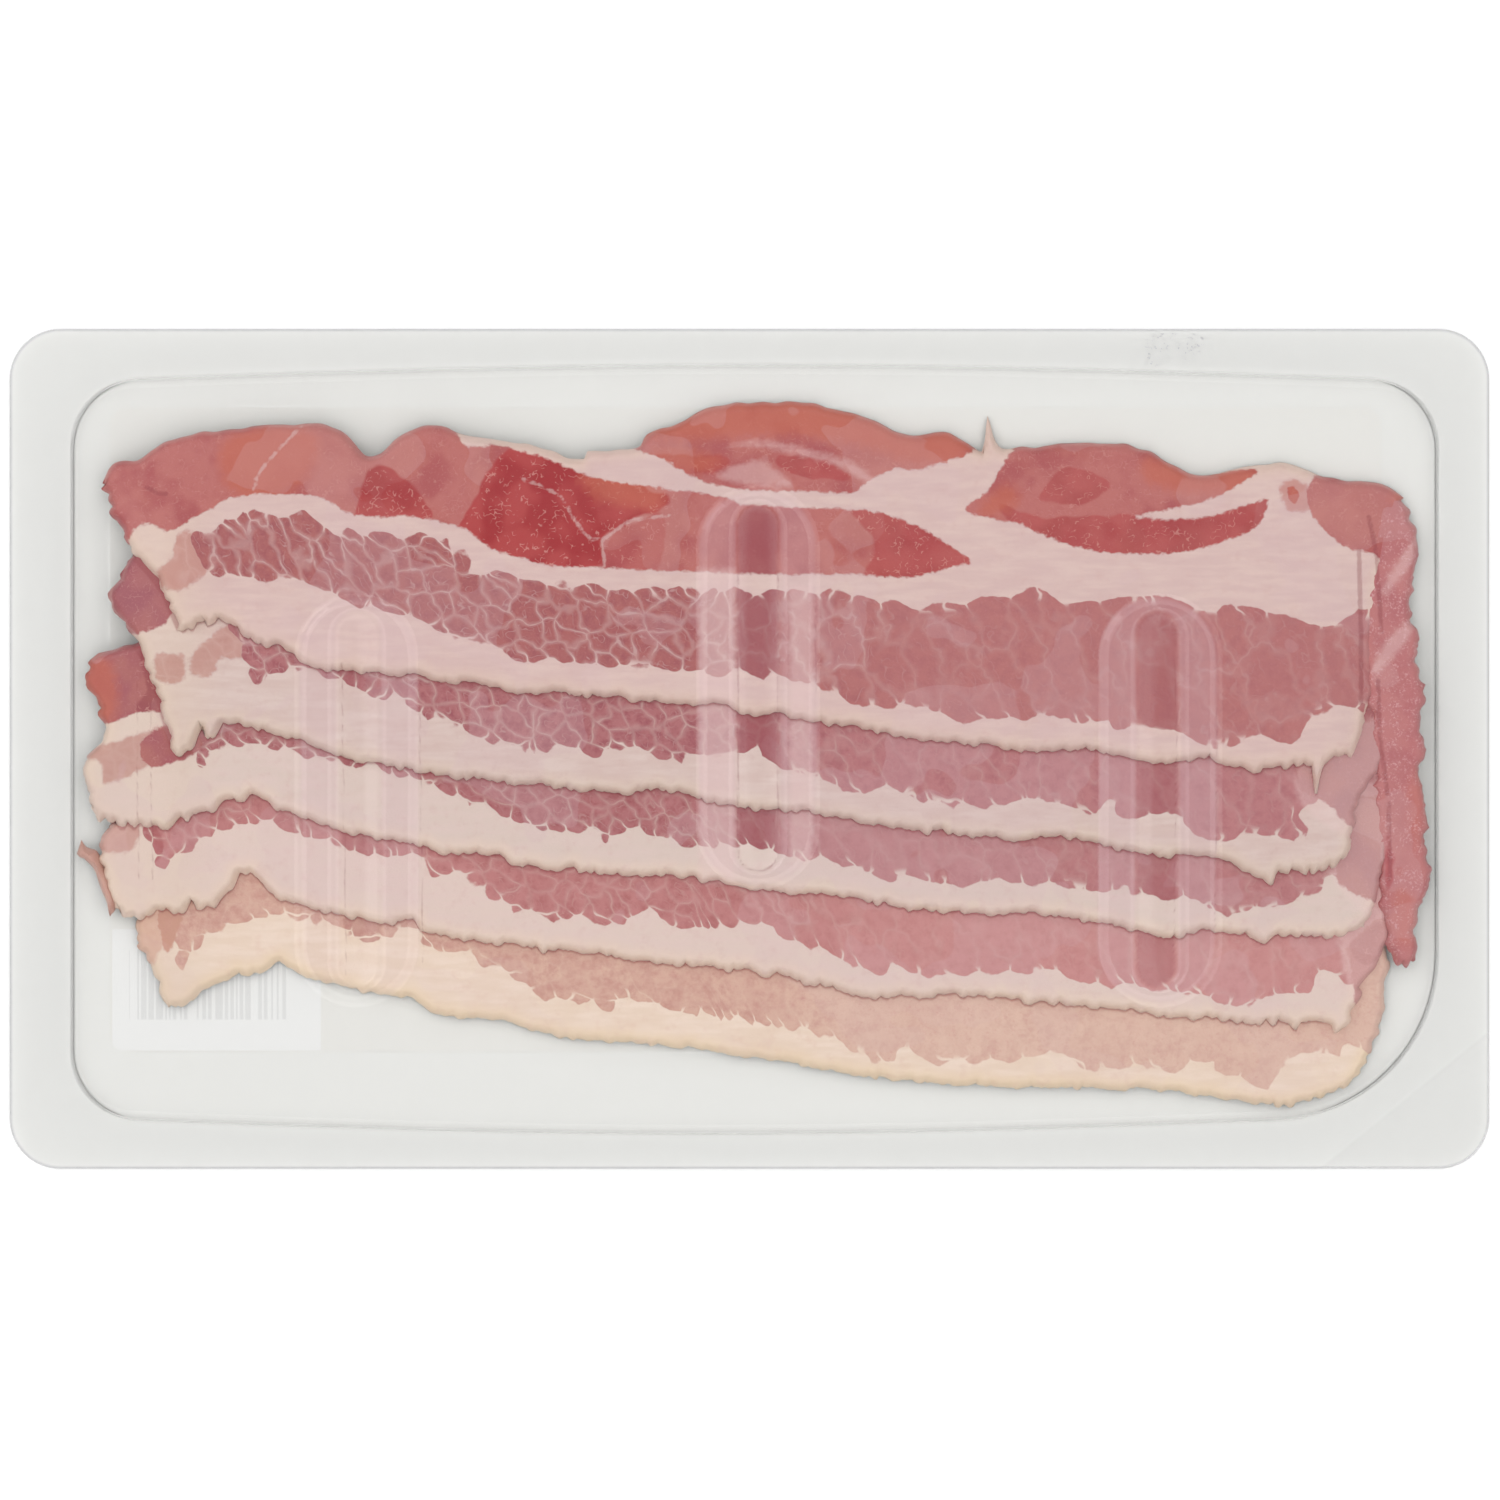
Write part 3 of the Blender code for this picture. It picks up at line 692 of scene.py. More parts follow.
# The lowest rasher. The palest slice, its fat straw coloured, its left end a fat point.
rasher_5 = {
    "name": "bacon_rasher_5", "level": 0, "seed": 51, "width": 56.0, "ragged": 0.8,
    "fat_edge": [(-103, -46), (-101, -45.5), (-96, -43), (-92.5, -41.5), (-90, -40), (-86, -39.5),
                 (-83, -37.8), (-79, -40.3), (-73, -42), (-60, -44.5), (-55, -47.2), (-45, -48),
                 (-33, -51), (-15, -52.5), (3, -55), (15, -57.3), (25, -58.3), (45, -59.8), (70, -60.2),
                 (78, -61), (93, -62.8), (103, -61), (108, -57.5)],
    "lean_edge": [(-106, -27), (-98, -8), (-84, 6), (-60, 9), (0, 1.5), (60, -5), (100, -12), (111, -24)],
    "left_end": [-103, -105.5, -108.3, -108, -106],
    "right_end": [108, 111.5, 113, 112.5, 110],
    "lean": [[(-104.5, -28), (-100, -28), (-100.5, -31), (-102.5, -36), (-104, -34)]],
    "thin": [[(-112, -27), (-103, -28), (-104, -36), (-107.5, -39), (-112, -33)]],
    "streak": [[(-101, -36), (-97, -34), (-90, -31), (-84, -29), (-78, -30), (-72, -31.5), (-70, -33.2),
                (-65, -33.6), (-60, -31.8), (-55, -35.8), (-50, -36.2), (-46, -38.5), (-40, -41),
                (-38, -43.5), (-30, -44.3), (-25.5, -46), (-22, -43.5), (-19, -44.5), (-14, -46.8),
                (-8, -46.7), (4, -48.5), (12, -50), (18, -53), (24, -55), (27, -53), (33, -55.3),
                (45, -55), (55, -54.6), (62, -56.5), (68, -55.3), (74, -56.7), (82, -55), (83, -57),
                (91, -59.3), (94, -58.5), (97, -54), (103, -54), (105, -52), (115, -48), (118, 20),
                (-101, 20)]],
    "wet": [],
    "bundle_width": ([-110, -10, 20, 110], [3.8, 3.8, 5.5, 6.0]),
    "bundle_height": ([-110, -10, 20, 110], [3.6, 3.6, 8.0, 9.0]),
    "seam_strength": ([-110, 110], [0.22, 0.15]),
}
# The fourth slice, with a thin torn tail of lean at its left end.
rasher_4 = {
    "name": "bacon_rasher_4", "level": 1, "seed": 41, "width": 55.0,
    "fat_edge": [(-113, -28), (-108, -30), (-104, -28.5), (-100, -29), (-98.5, -27), (-97, -29),
                 (-92, -26), (-89.5, -22), (-87, -22.5), (-85, -25), (-79, -27.8), (-71, -29.5),
                 (-65, -31), (-60, -30), (-57, -32.3), (-50, -33.7), (-30, -36), (-15, -37.8), (6, -40.2),
                 (20, -43.8), (30, -43.3), (43, -44), (62, -45.9), (80, -47.8), (101, -48.7),
                 (102.5, -50), (106, -48.5)],
    "lean_edge": [(-112, -13), (-104, 4), (-92, 16), (-78, 22), (-60, 22.5), (0, 15.5), (60, 9), (100, 2),
                  (111, -8)],
    "left_end": [-112.5, -113.5, -114.5, -114.8, -113, -112],
    "right_end": [106, 107.5, 110.5, 113, 113, 113, 112, 112, 111, 111],
    "thin": [[(-118, -11), (-108, -12), (-108.5, -17.5), (-113, -18.5), (-118, -17)]],
    "lean": [[(106, -38), (106.5, -42), (107.5, -46), (114, -48), (114, -30), (106, -34)]],
    "pale": [[(105, -25), (116, -25), (116, -50), (108, -48), (104, -36)]],
    "streak": [[(-105, -17.5), (-98, -17), (-95, -15), (-90, -13), (-85, -13), (-80, -14.5), (-72, -17),
                (-70, -18.2), (-60, -18.8), (-56, -21.7), (-50, -22.3), (-46, -25.5), (-39, -29),
                (-34, -29.7), (-27, -29.8), (-25, -31), (-20, -29.9), (-17, -28.8), (-13, -31.5),
                (-5, -31), (3, -31.8), (5, -33.7), (12, -34.8), (18, -37.5), (24, -40), (26, -38.5),
                (33, -40), (44, -39.3), (53, -39.2), (56, -40.5), (63, -41.5), (66, -40.8), (72, -42.3),
                (79, -43), (82, -44.3), (89, -45.2), (93, -43), (98, -42.3), (101, -39.5), (112, -36),
                (114, 30), (-105, 30)]],
    "wet": [(0.7, [(-109.3, -13), (-104.5, -14), (-103.5, -18.5), (-106, -20), (-109, -18)]),
            (0.5, [(106, -34), (113, -30), (113, -37), (108, -38)])],
    "bundle_width": ([-110, -10, 20, 110], [3.5, 3.6, 5.0, 6.0]),
    "bundle_height": ([-110, -10, 20, 110], [3.4, 3.4, 9.0, 12.0]),
    "seam_strength": ([-110, 0, 25, 110], [0.4, 0.4, 0.18, 0.25]),
}
# The middle slice. Its left end sticks out past the others and shows two muscles.
rasher_3 = {
    "name": "bacon_rasher_3", "level": 2, "seed": 31, "width": 56.0,
    "fat_edge": [(-115.5, -12), (-110, -13.2), (-105, -14), (-102, -14.5), (-100, -12.5), (-95, -11.5),
                 (-92, -9.3), (-86, -8.3), (-84, -10), (-80, -11.5), (-74, -13.8), (-69, -15),
                 (-60, -16.8), (-54, -18.3), (-45, -18.8), (-40, -20.7), (-25, -21.8), (-8, -23),
                 (0, -25), (15, -25.9), (22, -27.3), (30, -28.2), (50, -29.3), (65, -31), (75, -33),
                 (80, -31.8), (87, -32.7), (90, -34.3), (93, -33.3), (102, -33), (108, -32)],
    "lean_edge": [(-115, 17), (-107, 19.5), (-96, 29), (-80, 36), (-60, 36.5), (0, 29.5), (60, 23),
                  (100, 16), (111, 8)],
    "left_end": [-115.5, -116.5, -117.5, -114, -115, -117.5, -115],
    "right_end": [108, 110.3, 111.5, 113, 113, 113, 112, 111, 111, 111],
    "thin": [[(-120, 0), (-113, 1), (-107, 3), (-101, 4), (-96, 1), (-100, -1.5), (-106, -3.5),
              (-111, -5.7), (-114, -6), (-114.5, -2.5), (-120, -2)]],
    "lean": [[(-120, 20), (-106, 22), (-100, 10), (-101, 6.5), (-107, 6.5), (-113, 4.5), (-120, 4.5)],
             [(-107, 1.5), (-102, 4), (-96, 1), (-100, -2), (-106, -3)],
             [(103, -20), (104, -24), (110, -27), (114, -28), (114, -10), (103, -10)]],
    "pale": [[(102, -8), (115, -8), (115, -33), (108, -29), (102, -22)]],
    "streak": [[(-98, 0), (-93, 0.8), (-85, 0.6), (-75, -1.8), (-67, -2.8), (-62, -4), (-55, -6.8),
                (-51, -8), (-47, -10), (-43, -11.5), (-39, -13), (-35, -14), (-27, -14.5), (-25, -15.7),
                (-21, -13.8), (-18, -15), (-12, -16.7), (-7, -17), (0, -16.8), (7, -18.7), (16, -19.8),
                (24, -23), (27, -22.2), (34, -23.5), (42, -24), (44.5, -23), (52, -23.5), (62, -25.2),
                (66, -24), (68, -25.5), (78, -26), (80, -27.5), (84, -28.8), (92, -28), (97, -26.3),
                (101, -25), (102.5, -23), (114, -20), (114, 40), (-98, 40)]],
    # The wet patch at the left end is painted shade beside the second slice's end.
    "wet": [(0.55, [(-108.5, 20), (-104, 20), (-102, 11), (-102, 6.5), (-107.5, 6.5), (-106.5, 12)])],
    "warm": [[(-118, 15), (-113, 16), (-111, 11), (-112, 5), (-118, 6)]],
    "bundle_width": ([-110, -10, 20, 110], [3.5, 3.6, 5.0, 6.0]),
    "bundle_height": ([-110, -10, 20, 110], [3.4, 3.4, 9.0, 12.0]),
    "seam_strength": ([-110, 0, 25, 110], [0.6, 0.5, 0.22, 0.3]),
}
# The second slice. Its left end lies proud, a strip of lean over cream fat.
rasher_2 = {
    "name": "bacon_rasher_2", "level": 3, "seed": 21, "width": 56.0,
    "fat_edge": [(-101.5, 0), (-99, -1), (-97.5, 0.5), (-96, 4), (-95.5, 1.8), (-94, 1.2), (-93, 3),
                 (-91.5, 5), (-88, 4.5), (-85, 3), (-80, 2), (-74, -0.7), (-70, -2), (-60, -3.7),
                 (-50, -5), (-40, -6.3), (-30, -7.3), (-22, -7.9), (-18, -7), (-10, -8.3), (0, -10.5),
                 (12, -11.2), (19, -13), (27, -14), (35, -14.8), (45, -16), (57, -15.9), (65, -18),
                 (77, -19), (84, -20), (91.5, -23.3), (93, -21.5), (99, -21.3), (102, -20.5),
                 (105.5, -18)],
    "lean_edge": [(-107, 36), (-96, 45), (-80, 49.5), (-60, 49.5), (0, 43.5), (60, 37), (100, 31),
                  (110, 26)],
    "left_end": [-101.5, -103, -104.5, -106.5, -110, -112.5, -110, -107],
    "right_end": [105.5, 106, 107.5, 111, 113, 113, 112, 111, 110.5, 110],
    "lean": [[(-115, 31), (-110.5, 36), (-104, 36), (-102, 29), (-101, 24.5), (-103, 21.7),
              (-106.5, 20.5), (-110, 21)],
             [(96, -6), (101, -9.5), (106, -14), (114, -18), (114, 5), (97, 5)]],
    "pale": [[(98, 0), (114, 5), (114, -20), (105, -16), (96, -9)]],
    "thin": [[(-104.6, 15.8), (-103.5, 16.8), (-99.5, 16.6), (-98.6, 14), (-99.5, 11.7), (-103.5, 11.6)],
             [(-98, 16), (-95.5, 19), (-91, 22), (-87.5, 19.5), (-88.5, 15.8), (-92.5, 15.6), (-94, 13),
              (-97.5, 12.8)]],
    "streak": [[(-88, 15.2), (-80, 14.3), (-73, 12.5), (-66, 9.5), (-61, 9.3), (-58, 6.5), (-53, 5),
                (-49, 3), (-44, 1.3), (-39, 0.3), (-30, 0), (-27, -1.4), (-24, 0.5), (-20, 0.2),
                (-14, -1.5), (-5, -1.8), (1, -0.3), (2, -2), (8, -4), (15, -6), (20, -7.7), (25, -7),
                (33, -9.3), (41, -9.8), (49, -9.3), (59, -10.8), (63, -9.5), (65, -12), (74, -12.3),
                (76, -14), (80, -16.2), (88, -15), (95, -15.2), (97, -14), (96, -11), (101, -9.5),
                (112, -6), (112, 60), (-88, 60)]],
    "wet": [],
    "bundle_width": ([-110, -10, 20, 110], [3.5, 3.6, 5.0, 6.0]),
    "bundle_height": ([-110, -10, 20, 110], [3.4, 3.4, 9.0, 12.0]),
    "seam_strength": ([-110, 0, 25, 110], [0.8, 0.7, 0.28, 0.35]),
}
# The top slice, whole in view: a back muscle in lobes, a broad seam of fat, the streaky
# muscle in bundles, and the fat edge. Its right end hangs along the wall of the tray.
rasher_1 = {
    "name": "bacon_rasher_1", "level": 4, "seed": 11, "width": 52.0,
    "fat_edge": [(-100, 20.5), (-96, 21.5), (-92, 22), (-88, 19.5), (-85, 18), (-82, 18), (-77, 14.5),
                 (-70, 13.5), (-60, 12.8), (-50, 11.2), (-40, 10.2), (-25, 9), (-15, 8.2), (-5, 7.8),
                 (0, 6), (5, 6), (12, 4.7), (18, 3.8), (28, 1.7), (36, 1), (50, -0.3), (60, 0),
                 (67, -1.8), (76, -2.5), (80, -1.5), (88, -3.7), (97.5, -2.6), (98.6, -4.5), (99.2, -8),
                 (100, -4.5), (101.5, -2.6), (103, -2), (106.5, 0), (108, 3.5)],
    "lean_edge": [(-114.5, 47), (-112, 50.3), (-108, 51), (-105, 53), (-100, 55.2), (-90, 56.7),
                  (-80, 57.3), (-74, 57), (-70, 54.3), (-67.5, 51.6), (-65.5, 52), (-62, 55.2),
                  (-58, 56.8), (-54, 56.9), (-50, 55.3), (-40, 54), (-30, 51), (-28.5, 52.5), (-20, 53),
                  (-18, 55.5), (-12, 58), (-6, 60.7), (8, 61.4), (20, 59), (28, 55.4), (35, 56.2),
                  (39.5, 53.3), (41.3, 52.8), (41.9, 57), (42.3, 59.5), (42.8, 57), (43.6, 54.6),
                  (45, 53.2), (48, 53.3), (62, 54.2), (70, 53), (79, 48.7), (90, 50.3), (95, 50.5),
                  (103, 48), (112, 47), (116, 44.5)],
    "left_end": [-100, -101.5, -103, -105.5, -108.8, -110.5, -112.8, -113.2, -114.5],
    "right_end": [108, 110, 110.5, 111.5, 113, 116],
    "lean": [[(-116, 48), (-108, 53), (-100, 57), (-80, 59), (-70, 56), (-67, 53), (-62, 57), (-54, 58.5),
              (-50, 53.6), (-45, 53.6), (-40, 52.5), (-35, 50.8), (-28, 48), (-20, 46.5), (-5, 44.5),
              (0, 43), (20, 42), (25, 41), (30, 39), (35, 36), (39, 33), (37, 32.3), (32, 31), (28, 30),
              (18, 30.6), (0, 30.7), (-15, 31.3), (-25, 31.7), (-35, 32.2), (-40, 33.5), (-45, 35),
              (-50, 38.6), (-55, 40), (-60, 41), (-65, 40.7), (-70, 41.3), (-75, 44), (-80, 44.8),
              (-90, 44.3), (-95, 42), (-101, 38.5), (-103, 38.5), (-105.8, 39.6), (-108.6, 37.9),
              (-110, 35), (-116, 40)],
             [(-21, 53.5), (-18, 57), (-9, 62), (8, 63), (20, 61), (27, 57), (35, 57.5), (40.5, 54),
              (38.5, 52), (35, 50.8), (30, 49.3), (25, 49.2), (20, 46.5), (18.5, 45.2), (10, 45.3),
              (-4, 46), (-12, 49), (-15, 51)],
             [(38, 42), (42, 45.5), (44, 49), (46, 52), (49, 55), (58, 56), (70, 54.5), (74, 51),
              (80, 49.2), (89.5, 49.4), (88.5, 48), (85, 45.8), (80, 43.6), (75, 42.4), (70, 41.4),
              (64, 40), (54, 39.4), (45, 40.2)],
             [(45, 41.2), (48, 39.5), (52.5, 37.3), (59, 35.2), (66, 34.4), (77, 34.7), (85.6, 37.3),
              (90, 39.7), (91.4, 44), (88, 43.2), (82, 41.2), (76, 40.5), (70, 40.6), (60, 42)],
             [(98.5, 46), (101, 49), (105, 50), (118, 48), (118, 36), (113, 32), (110, 34.5), (106, 35.3),
              (103, 37), (101, 39), (99, 42)],
             [(94.8, 46.2), (96.4, 46.4), (97.2, 44.8), (96.6, 43.3), (95.2, 43.7)]],
    "thin": [[(-100.4, 37.9), (-96.8, 38), (-94, 35), (-94, 32), (-96.8, 29.3), (-99.6, 27.6),
              (-102.6, 28), (-104.3, 30.4), (-103, 32.3), (-101.2, 34)],
             [(93.6, 46.2), (95.5, 47.6), (98.8, 46.6), (99.4, 43.6), (98, 41.6), (94.6, 42.4)]],
    "streak": [[(-98, 38), (-93, 39), (-88, 41), (-84, 41.5), (-78, 41.4), (-73, 38.5), (-66, 37.7),
                (-56, 37.2), (-50, 33.7), (-48, 31.4), (-42, 30.8), (-35, 29.2), (-20, 28), (0, 27.6),
                (15, 27.2), (25, 25.3), (35, 25.2), (45, 27.2), (50, 27.6), (55, 26.2), (70, 26.9),
                (80, 24.9), (90, 24.4), (100, 22.2), (108, 23.8), (113, 23), (113, 8), (103, 7.6),
                (98, 4.5), (95, 1.6), (88, 1.4), (80, 0.4), (76, 1.6), (67, 3.5), (64, 4.1), (63.5, 7.5),
                (61, 4.9), (50, 5.4), (41, 5.3), (34, 5.6), (28, 7.4), (20, 7.8), (12, 10.6), (3, 13),
                (-8, 13.2), (-20, 14.4), (-32, 15.2), (-43, 16.4), (-51, 19.8), (-60, 23), (-71, 26.2),
                (-80, 29), (-93, 30.6), (-96, 33)]],
    "wet": [(0.75, [(-68.3, 40), (-68.3, 47), (-66, 50), (-63.5, 50), (-60, 47), (-57, 44), (-57, 40)]),
            (0.92, [(-51, 38), (-48.7, 43.5), (-46.5, 47.5), (-42.7, 53), (-34, 52), (-27, 48.5),
                    (-15, 45.3), (-15.7, 42), (-20, 40.5), (-24, 38), (-26, 36), (-26, 32), (-37, 31),
                    (-44, 34)]),
            (0.35, [(-24.5, 37.5), (-20, 40), (-15.5, 41), (-15, 36), (-17, 31), (-25.5, 31)]),
            (0.55, [(-17, 51.9), (-8, 51.9), (-3.6, 51.4), (-4.6, 49.6), (-7, 48.3), (-11, 48.2),
                    (-14.5, 50)]),
            (0.55, [(4.9, 51.6), (9, 51.8), (13, 51), (16, 49.5), (17.6, 47.6), (13, 47.4), (8, 48.2),
                    (5.6, 49.8)]),
            (0.6, [(21, 29), (22, 36), (18, 43), (30, 42), (41, 33), (37, 29)]),
            (0.5, [(51, 44), (54, 49), (60, 49.5), (64, 46), (58, 43)]),
            (0.55, [(44, 43.5), (52, 41), (62, 41.5), (70, 41), (78, 41), (92, 45), (91, 38), (77, 33),
                    (58, 34), (48, 38)])],
    "warm": [[(-20, 54), (-15, 58), (-6, 62), (8, 62.5), (20, 60), (28, 56), (36, 57), (41, 54),
              (36, 50.5), (28, 50.5), (20, 53), (8, 55), (-6, 54.5)],
             [(-17, 53), (-8, 52.5), (-4, 50.5), (-9, 48.5), (-15, 50)],
             [(-30, 48), (-22, 48.5), (-15, 46), (-16, 42), (-22, 42.5), (-27, 44)],
             [(-93, 54), (-84, 57), (-76, 55), (-78, 47), (-86, 43.5), (-92, 46)],
             [(70, 52), (78, 49.5), (89, 50), (88, 46), (78, 45), (70, 47)],
             [(113, 45), (118, 46), (118, 34), (115.5, 36), (114.5, 41)],
             [(40, 42), (45, 47), (48, 44), (44, 41)],
             [(94.5, 46.8), (96.5, 47), (97.4, 44.8), (96.8, 43), (95, 43.3)]],
    "pale": [[(-4.6, 53.1), (0.8, 54.6), (5, 54.2), (9.8, 53.2), (17.5, 51), (22, 48), (20.5, 46.8),
              (15, 49.8), (9, 51.6), (1, 53.2)],
             [(-6, 48.2), (1, 51.2), (4.5, 49.6), (7.8, 46.3), (0, 46.2)]],
    "bundle_width": ([-110, -70, -10, 25, 110], [3.6, 4.2, 3.9, 5.5, 6.5]),
    "bundle_height": ([-110, -85, -65, -10, 25, 110], [6.5, 5.5, 3.8, 3.9, 11.0, 15.0]),
    "creases": [[(109.3, 41), (110.3, 36), (111, 30), (111, 20), (110, 15)],
                [(107.5, 35), (107.6, 20), (107.4, 8)],
                [(-106, 46), (-104, 45), (-102.5, 44.8)]],
    "seam_strength": ([-110, 10, 30, 110], [0.9, 0.8, 0.28, 0.35]),
    "sinews": [[(-40, 47.5), (-36, 46), (-33, 44), (-30.5, 40), (-28, 37), (-26.5, 37)],
               [(-26, 36.5), (-22, 39.5), (-19, 40.5), (-14, 41)],
               [(-26, 36.5), (-25.3, 32)],
               [(-79, 57), (-85.5, 49.6), (-87.2, 45.7)]],
}
# The colours of each slice's meat. The lower slices are paler.
PALETTE = {
    "bacon_rasher_5": {"lobe": "C9A093", "lobe_dark": "BF9180", "orange": "C58E79", "streaky": "CEA999",
                       "streaky_dark": "BD8E83", "streaky_pale": "DEC4B4", "wet": "B97F71",
                       "wet_dark": "B2705F", "fat": "DDC7B5", "fat_light": "E3CFC0", "fat_edge": "DFC7A9",
                       "fat_pink": "D4B2A2", "veil": 0.12},
    "bacon_rasher_4": {"lobe": "B47672", "lobe_dark": "A76461", "orange": "B47265", "streaky": "B77C7B",
                       "streaky_dark": "A86868", "streaky_pale": "D29E9B", "wet": "A15659",
                       "wet_dark": "954648", "fat": "D5C0B7", "fat_light": "D6BFB8", "fat_edge": "DDC5B3",
                       "fat_pink": "CAA7A2", "veil": 0.20},
    "bacon_rasher_3": {"lobe": "A56360", "lobe_dark": "9B565C", "orange": "AE6859", "streaky": "AB7072",
                       "streaky_dark": "99575B", "streaky_pale": "BE8889", "wet": "91444A",
                       "wet_dark": "84363E", "fat": "D0BDB4", "fat_light": "D3BEB7", "fat_edge": "DBC4B3",
                       "fat_pink": "C6A29E", "veil": 0.28},
    "bacon_rasher_2": {"lobe": "A26062", "lobe_dark": "96535B", "orange": "B26F5C", "streaky": "AA6E70",
                       "streaky_dark": "95535A", "streaky_pale": "BE8688", "wet": "904249",
                       "wet_dark": "83353C", "fat": "CBB3AC", "fat_light": "D2BEB7", "fat_edge": "D3BDAD",
                       "fat_pink": "C09F9A", "veil": 0.28},
    "bacon_rasher_1": {"lobe": "B26965", "lobe_dark": "A35354", "orange": "B46859", "streaky": "A5615F",
                       "streaky_dark": "975357", "streaky_pale": "BC7F7E", "wet": "A73C3D",
                       "wet_dark": "97242A", "fat": "CBAEAA", "fat_light": "D2B8B1", "fat_edge": "D4BAAC",
                       "fat_pink": "C6A09B", "veil": 0.22},
}
# The folded end beside the top slice, pressed along the wall, and the fourth slice's tail.
folded_end = {
    "name": "folded_end", "level": 4, "seed": 71, "width": 84.0, "flecks": 1.0, "sink": 0.0024,
    "warm": [[(113.6, -25), (117.5, -26), (117.5, -34), (113.8, -34)],
             [(116.5, -4), (119, -6), (118.5, -18), (116, -14)]],
    "fat_edge": [(107, -34), (110, -33), (112, -34), (114, -37.3), (116, -37.8), (118, -36.8),
                 (120, -35)],
    "lean_edge": [(107, 46), (112, 46), (116, 44.5), (120, 43)],
    "left_end": [112.3, 110.8, 110.3, 110, 109.5, 108.5, 107.5, 107.5, 109, 111],
    "right_end": [118, 118.2, 119.8, 120.2, 119.6, 119.3, 118.3, 119.4, 118.2, 119.3, 118.0, 118.2, 116.8,
                  117.3, 118, 117.3, 115.5],
    "lean": [[(100, -50), (130, -50), (130, 60), (100, 60)]],
    "streak": [],
    "pale": [[(111.3, 27.6), (112.8, 27.4), (117.2, 32.8), (117.8, 36.6), (116, 35.8), (113, 31.4)],
             [(109.3, 14.4), (110.9, 13.4), (116.6, 19.6), (116.8, 22.4), (114.6, 21.8), (111.5, 18.4)]],
    "creases": [[(109.6, 38.3), (110.8, 30), (111.3, 20.4)],
                [(110.6, 12), (110.9, 3), (112.3, -8)],
                [(112.6, -9.7), (112.9, -23)]],
    # The wet strip along the left edge is painted shade in the crevice beside the lower slices' ends.
    "wet": [(0.9, [(112.0, -10), (112.9, -10), (113.5, -18), (113.1, -24), (112.0, -24)])],
    "bundle_width": ([100, 130], [3.0, 3.0]),
    "bundle_height": ([100, 130], [9.0, 9.0]),
    "seam_strength": ([100, 130], [0.5, 0.5]),
}
torn_tail = {
    "name": "torn_tail", "level": 1, "seed": 81, "width": 3.0, "ragged": 0.5,
    "fat_edge": [(-119.2, -19), (-117.6, -20.3), (-116.2, -22), (-114.6, -24.6), (-112.5, -28)],
    "lean_edge": [(-118.6, -16.8), (-117.4, -18.2), (-115.2, -18.6), (-113.6, -22), (-111.8, -26.4)],
    "left_end": [-119.2, -118.6],
    "right_end": [-112.5, -111.8],
    "lean": [],
    "streak": [],
    "thin": [[(-125, -10), (-105, -10), (-105, -32), (-125, -32)]],
    "wet": [(0.25, [(-125, -10), (-105, -10), (-105, -32), (-125, -32)])],
    "bundle_width": ([-120, -110], [3.0, 3.0]),
    "bundle_height": ([-120, -110], [3.0, 3.0]),
    "seam_strength": ([-120, -110], [0.3, 0.3]),
}
loose_ends = {"bacon_rasher_1": folded_end, "bacon_rasher_4": torn_tail}
stack = [rasher_5, rasher_4, rasher_3, rasher_2, rasher_1]
for shape, above in zip(stack, stack[1:] + [None]):
    piece = lay_rasher(shape, above)
    if shape["name"] in loose_ends:
        fold = lay_rasher(loose_ends[shape["name"]])
        bpy.ops.object.select_all(action="DESELECT")
        fold.select_set(True)
        piece.select_set(True)
        bpy.context.view_layer.objects.active = piece
        bpy.ops.object.join()
    meat = raw_bacon(shape["name"].replace("bacon", "raw_bacon"), PALETTE[shape["name"]])
    piece.data.materials.append(meat)
    cad_name = shape["name"].replace("bacon_", "")
    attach(piece, "root")
    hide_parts(cad_name)


# The tray. Clear PET sheet thermoformed into a shallow cavity with three pressed ribs, its
# wide flange sealed to the film. A corner of the cavity is cut wide for peeling.
PACK_WIDTH_MM = 148.7
TRAY_THICKNESS = 0.0004
CAVITY = (-120.2, 122.0, -66.2, 66.0)
SIDE_BOW_MM = 2.4
tray_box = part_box("tray")
flange_top = tray_box[0][2] + TRAY_THICKNESS
crest_top = tray_box[1][2]
RIB_HEIGHT = 0.0009
panel_top = crest_top - RIB_HEIGHT
FLANGE_RADIUS_MM = 9.0
CAVITY_RADII_MM = (13.0, 30.0, 13.0, 13.0)
# Each ring of the wall as inset and rise in mm, first from the flange and then from the panel.
FOOT_RINGS = ((0.0, 0.0), (0.15, 0.25), (0.45, 1.0))
PANEL_RINGS = ((1.40, -1.6), (1.65, -0.8), (2.0, -0.3), (2.7, 0.0), (3.2, 0.0))
# Each ring of a rib as width, setback of its ends and rise over the panel, in mm.
RIB_RINGS = ((22.2, -0.4, 0.0), (21.4, 0.0, 0.0), (20.4, 0.5, 0.22), (19.4, 1.0, 0.65),
             (18.4, 1.5, 0.86), (17.0, 2.0, 0.9), (10.4, 2.4, 0.9), (9.2, 2.8, 0.8),
             (8.0, 3.2, 0.3), (7.2, 3.6, -0.15), (6.4, 4.0, -0.3))


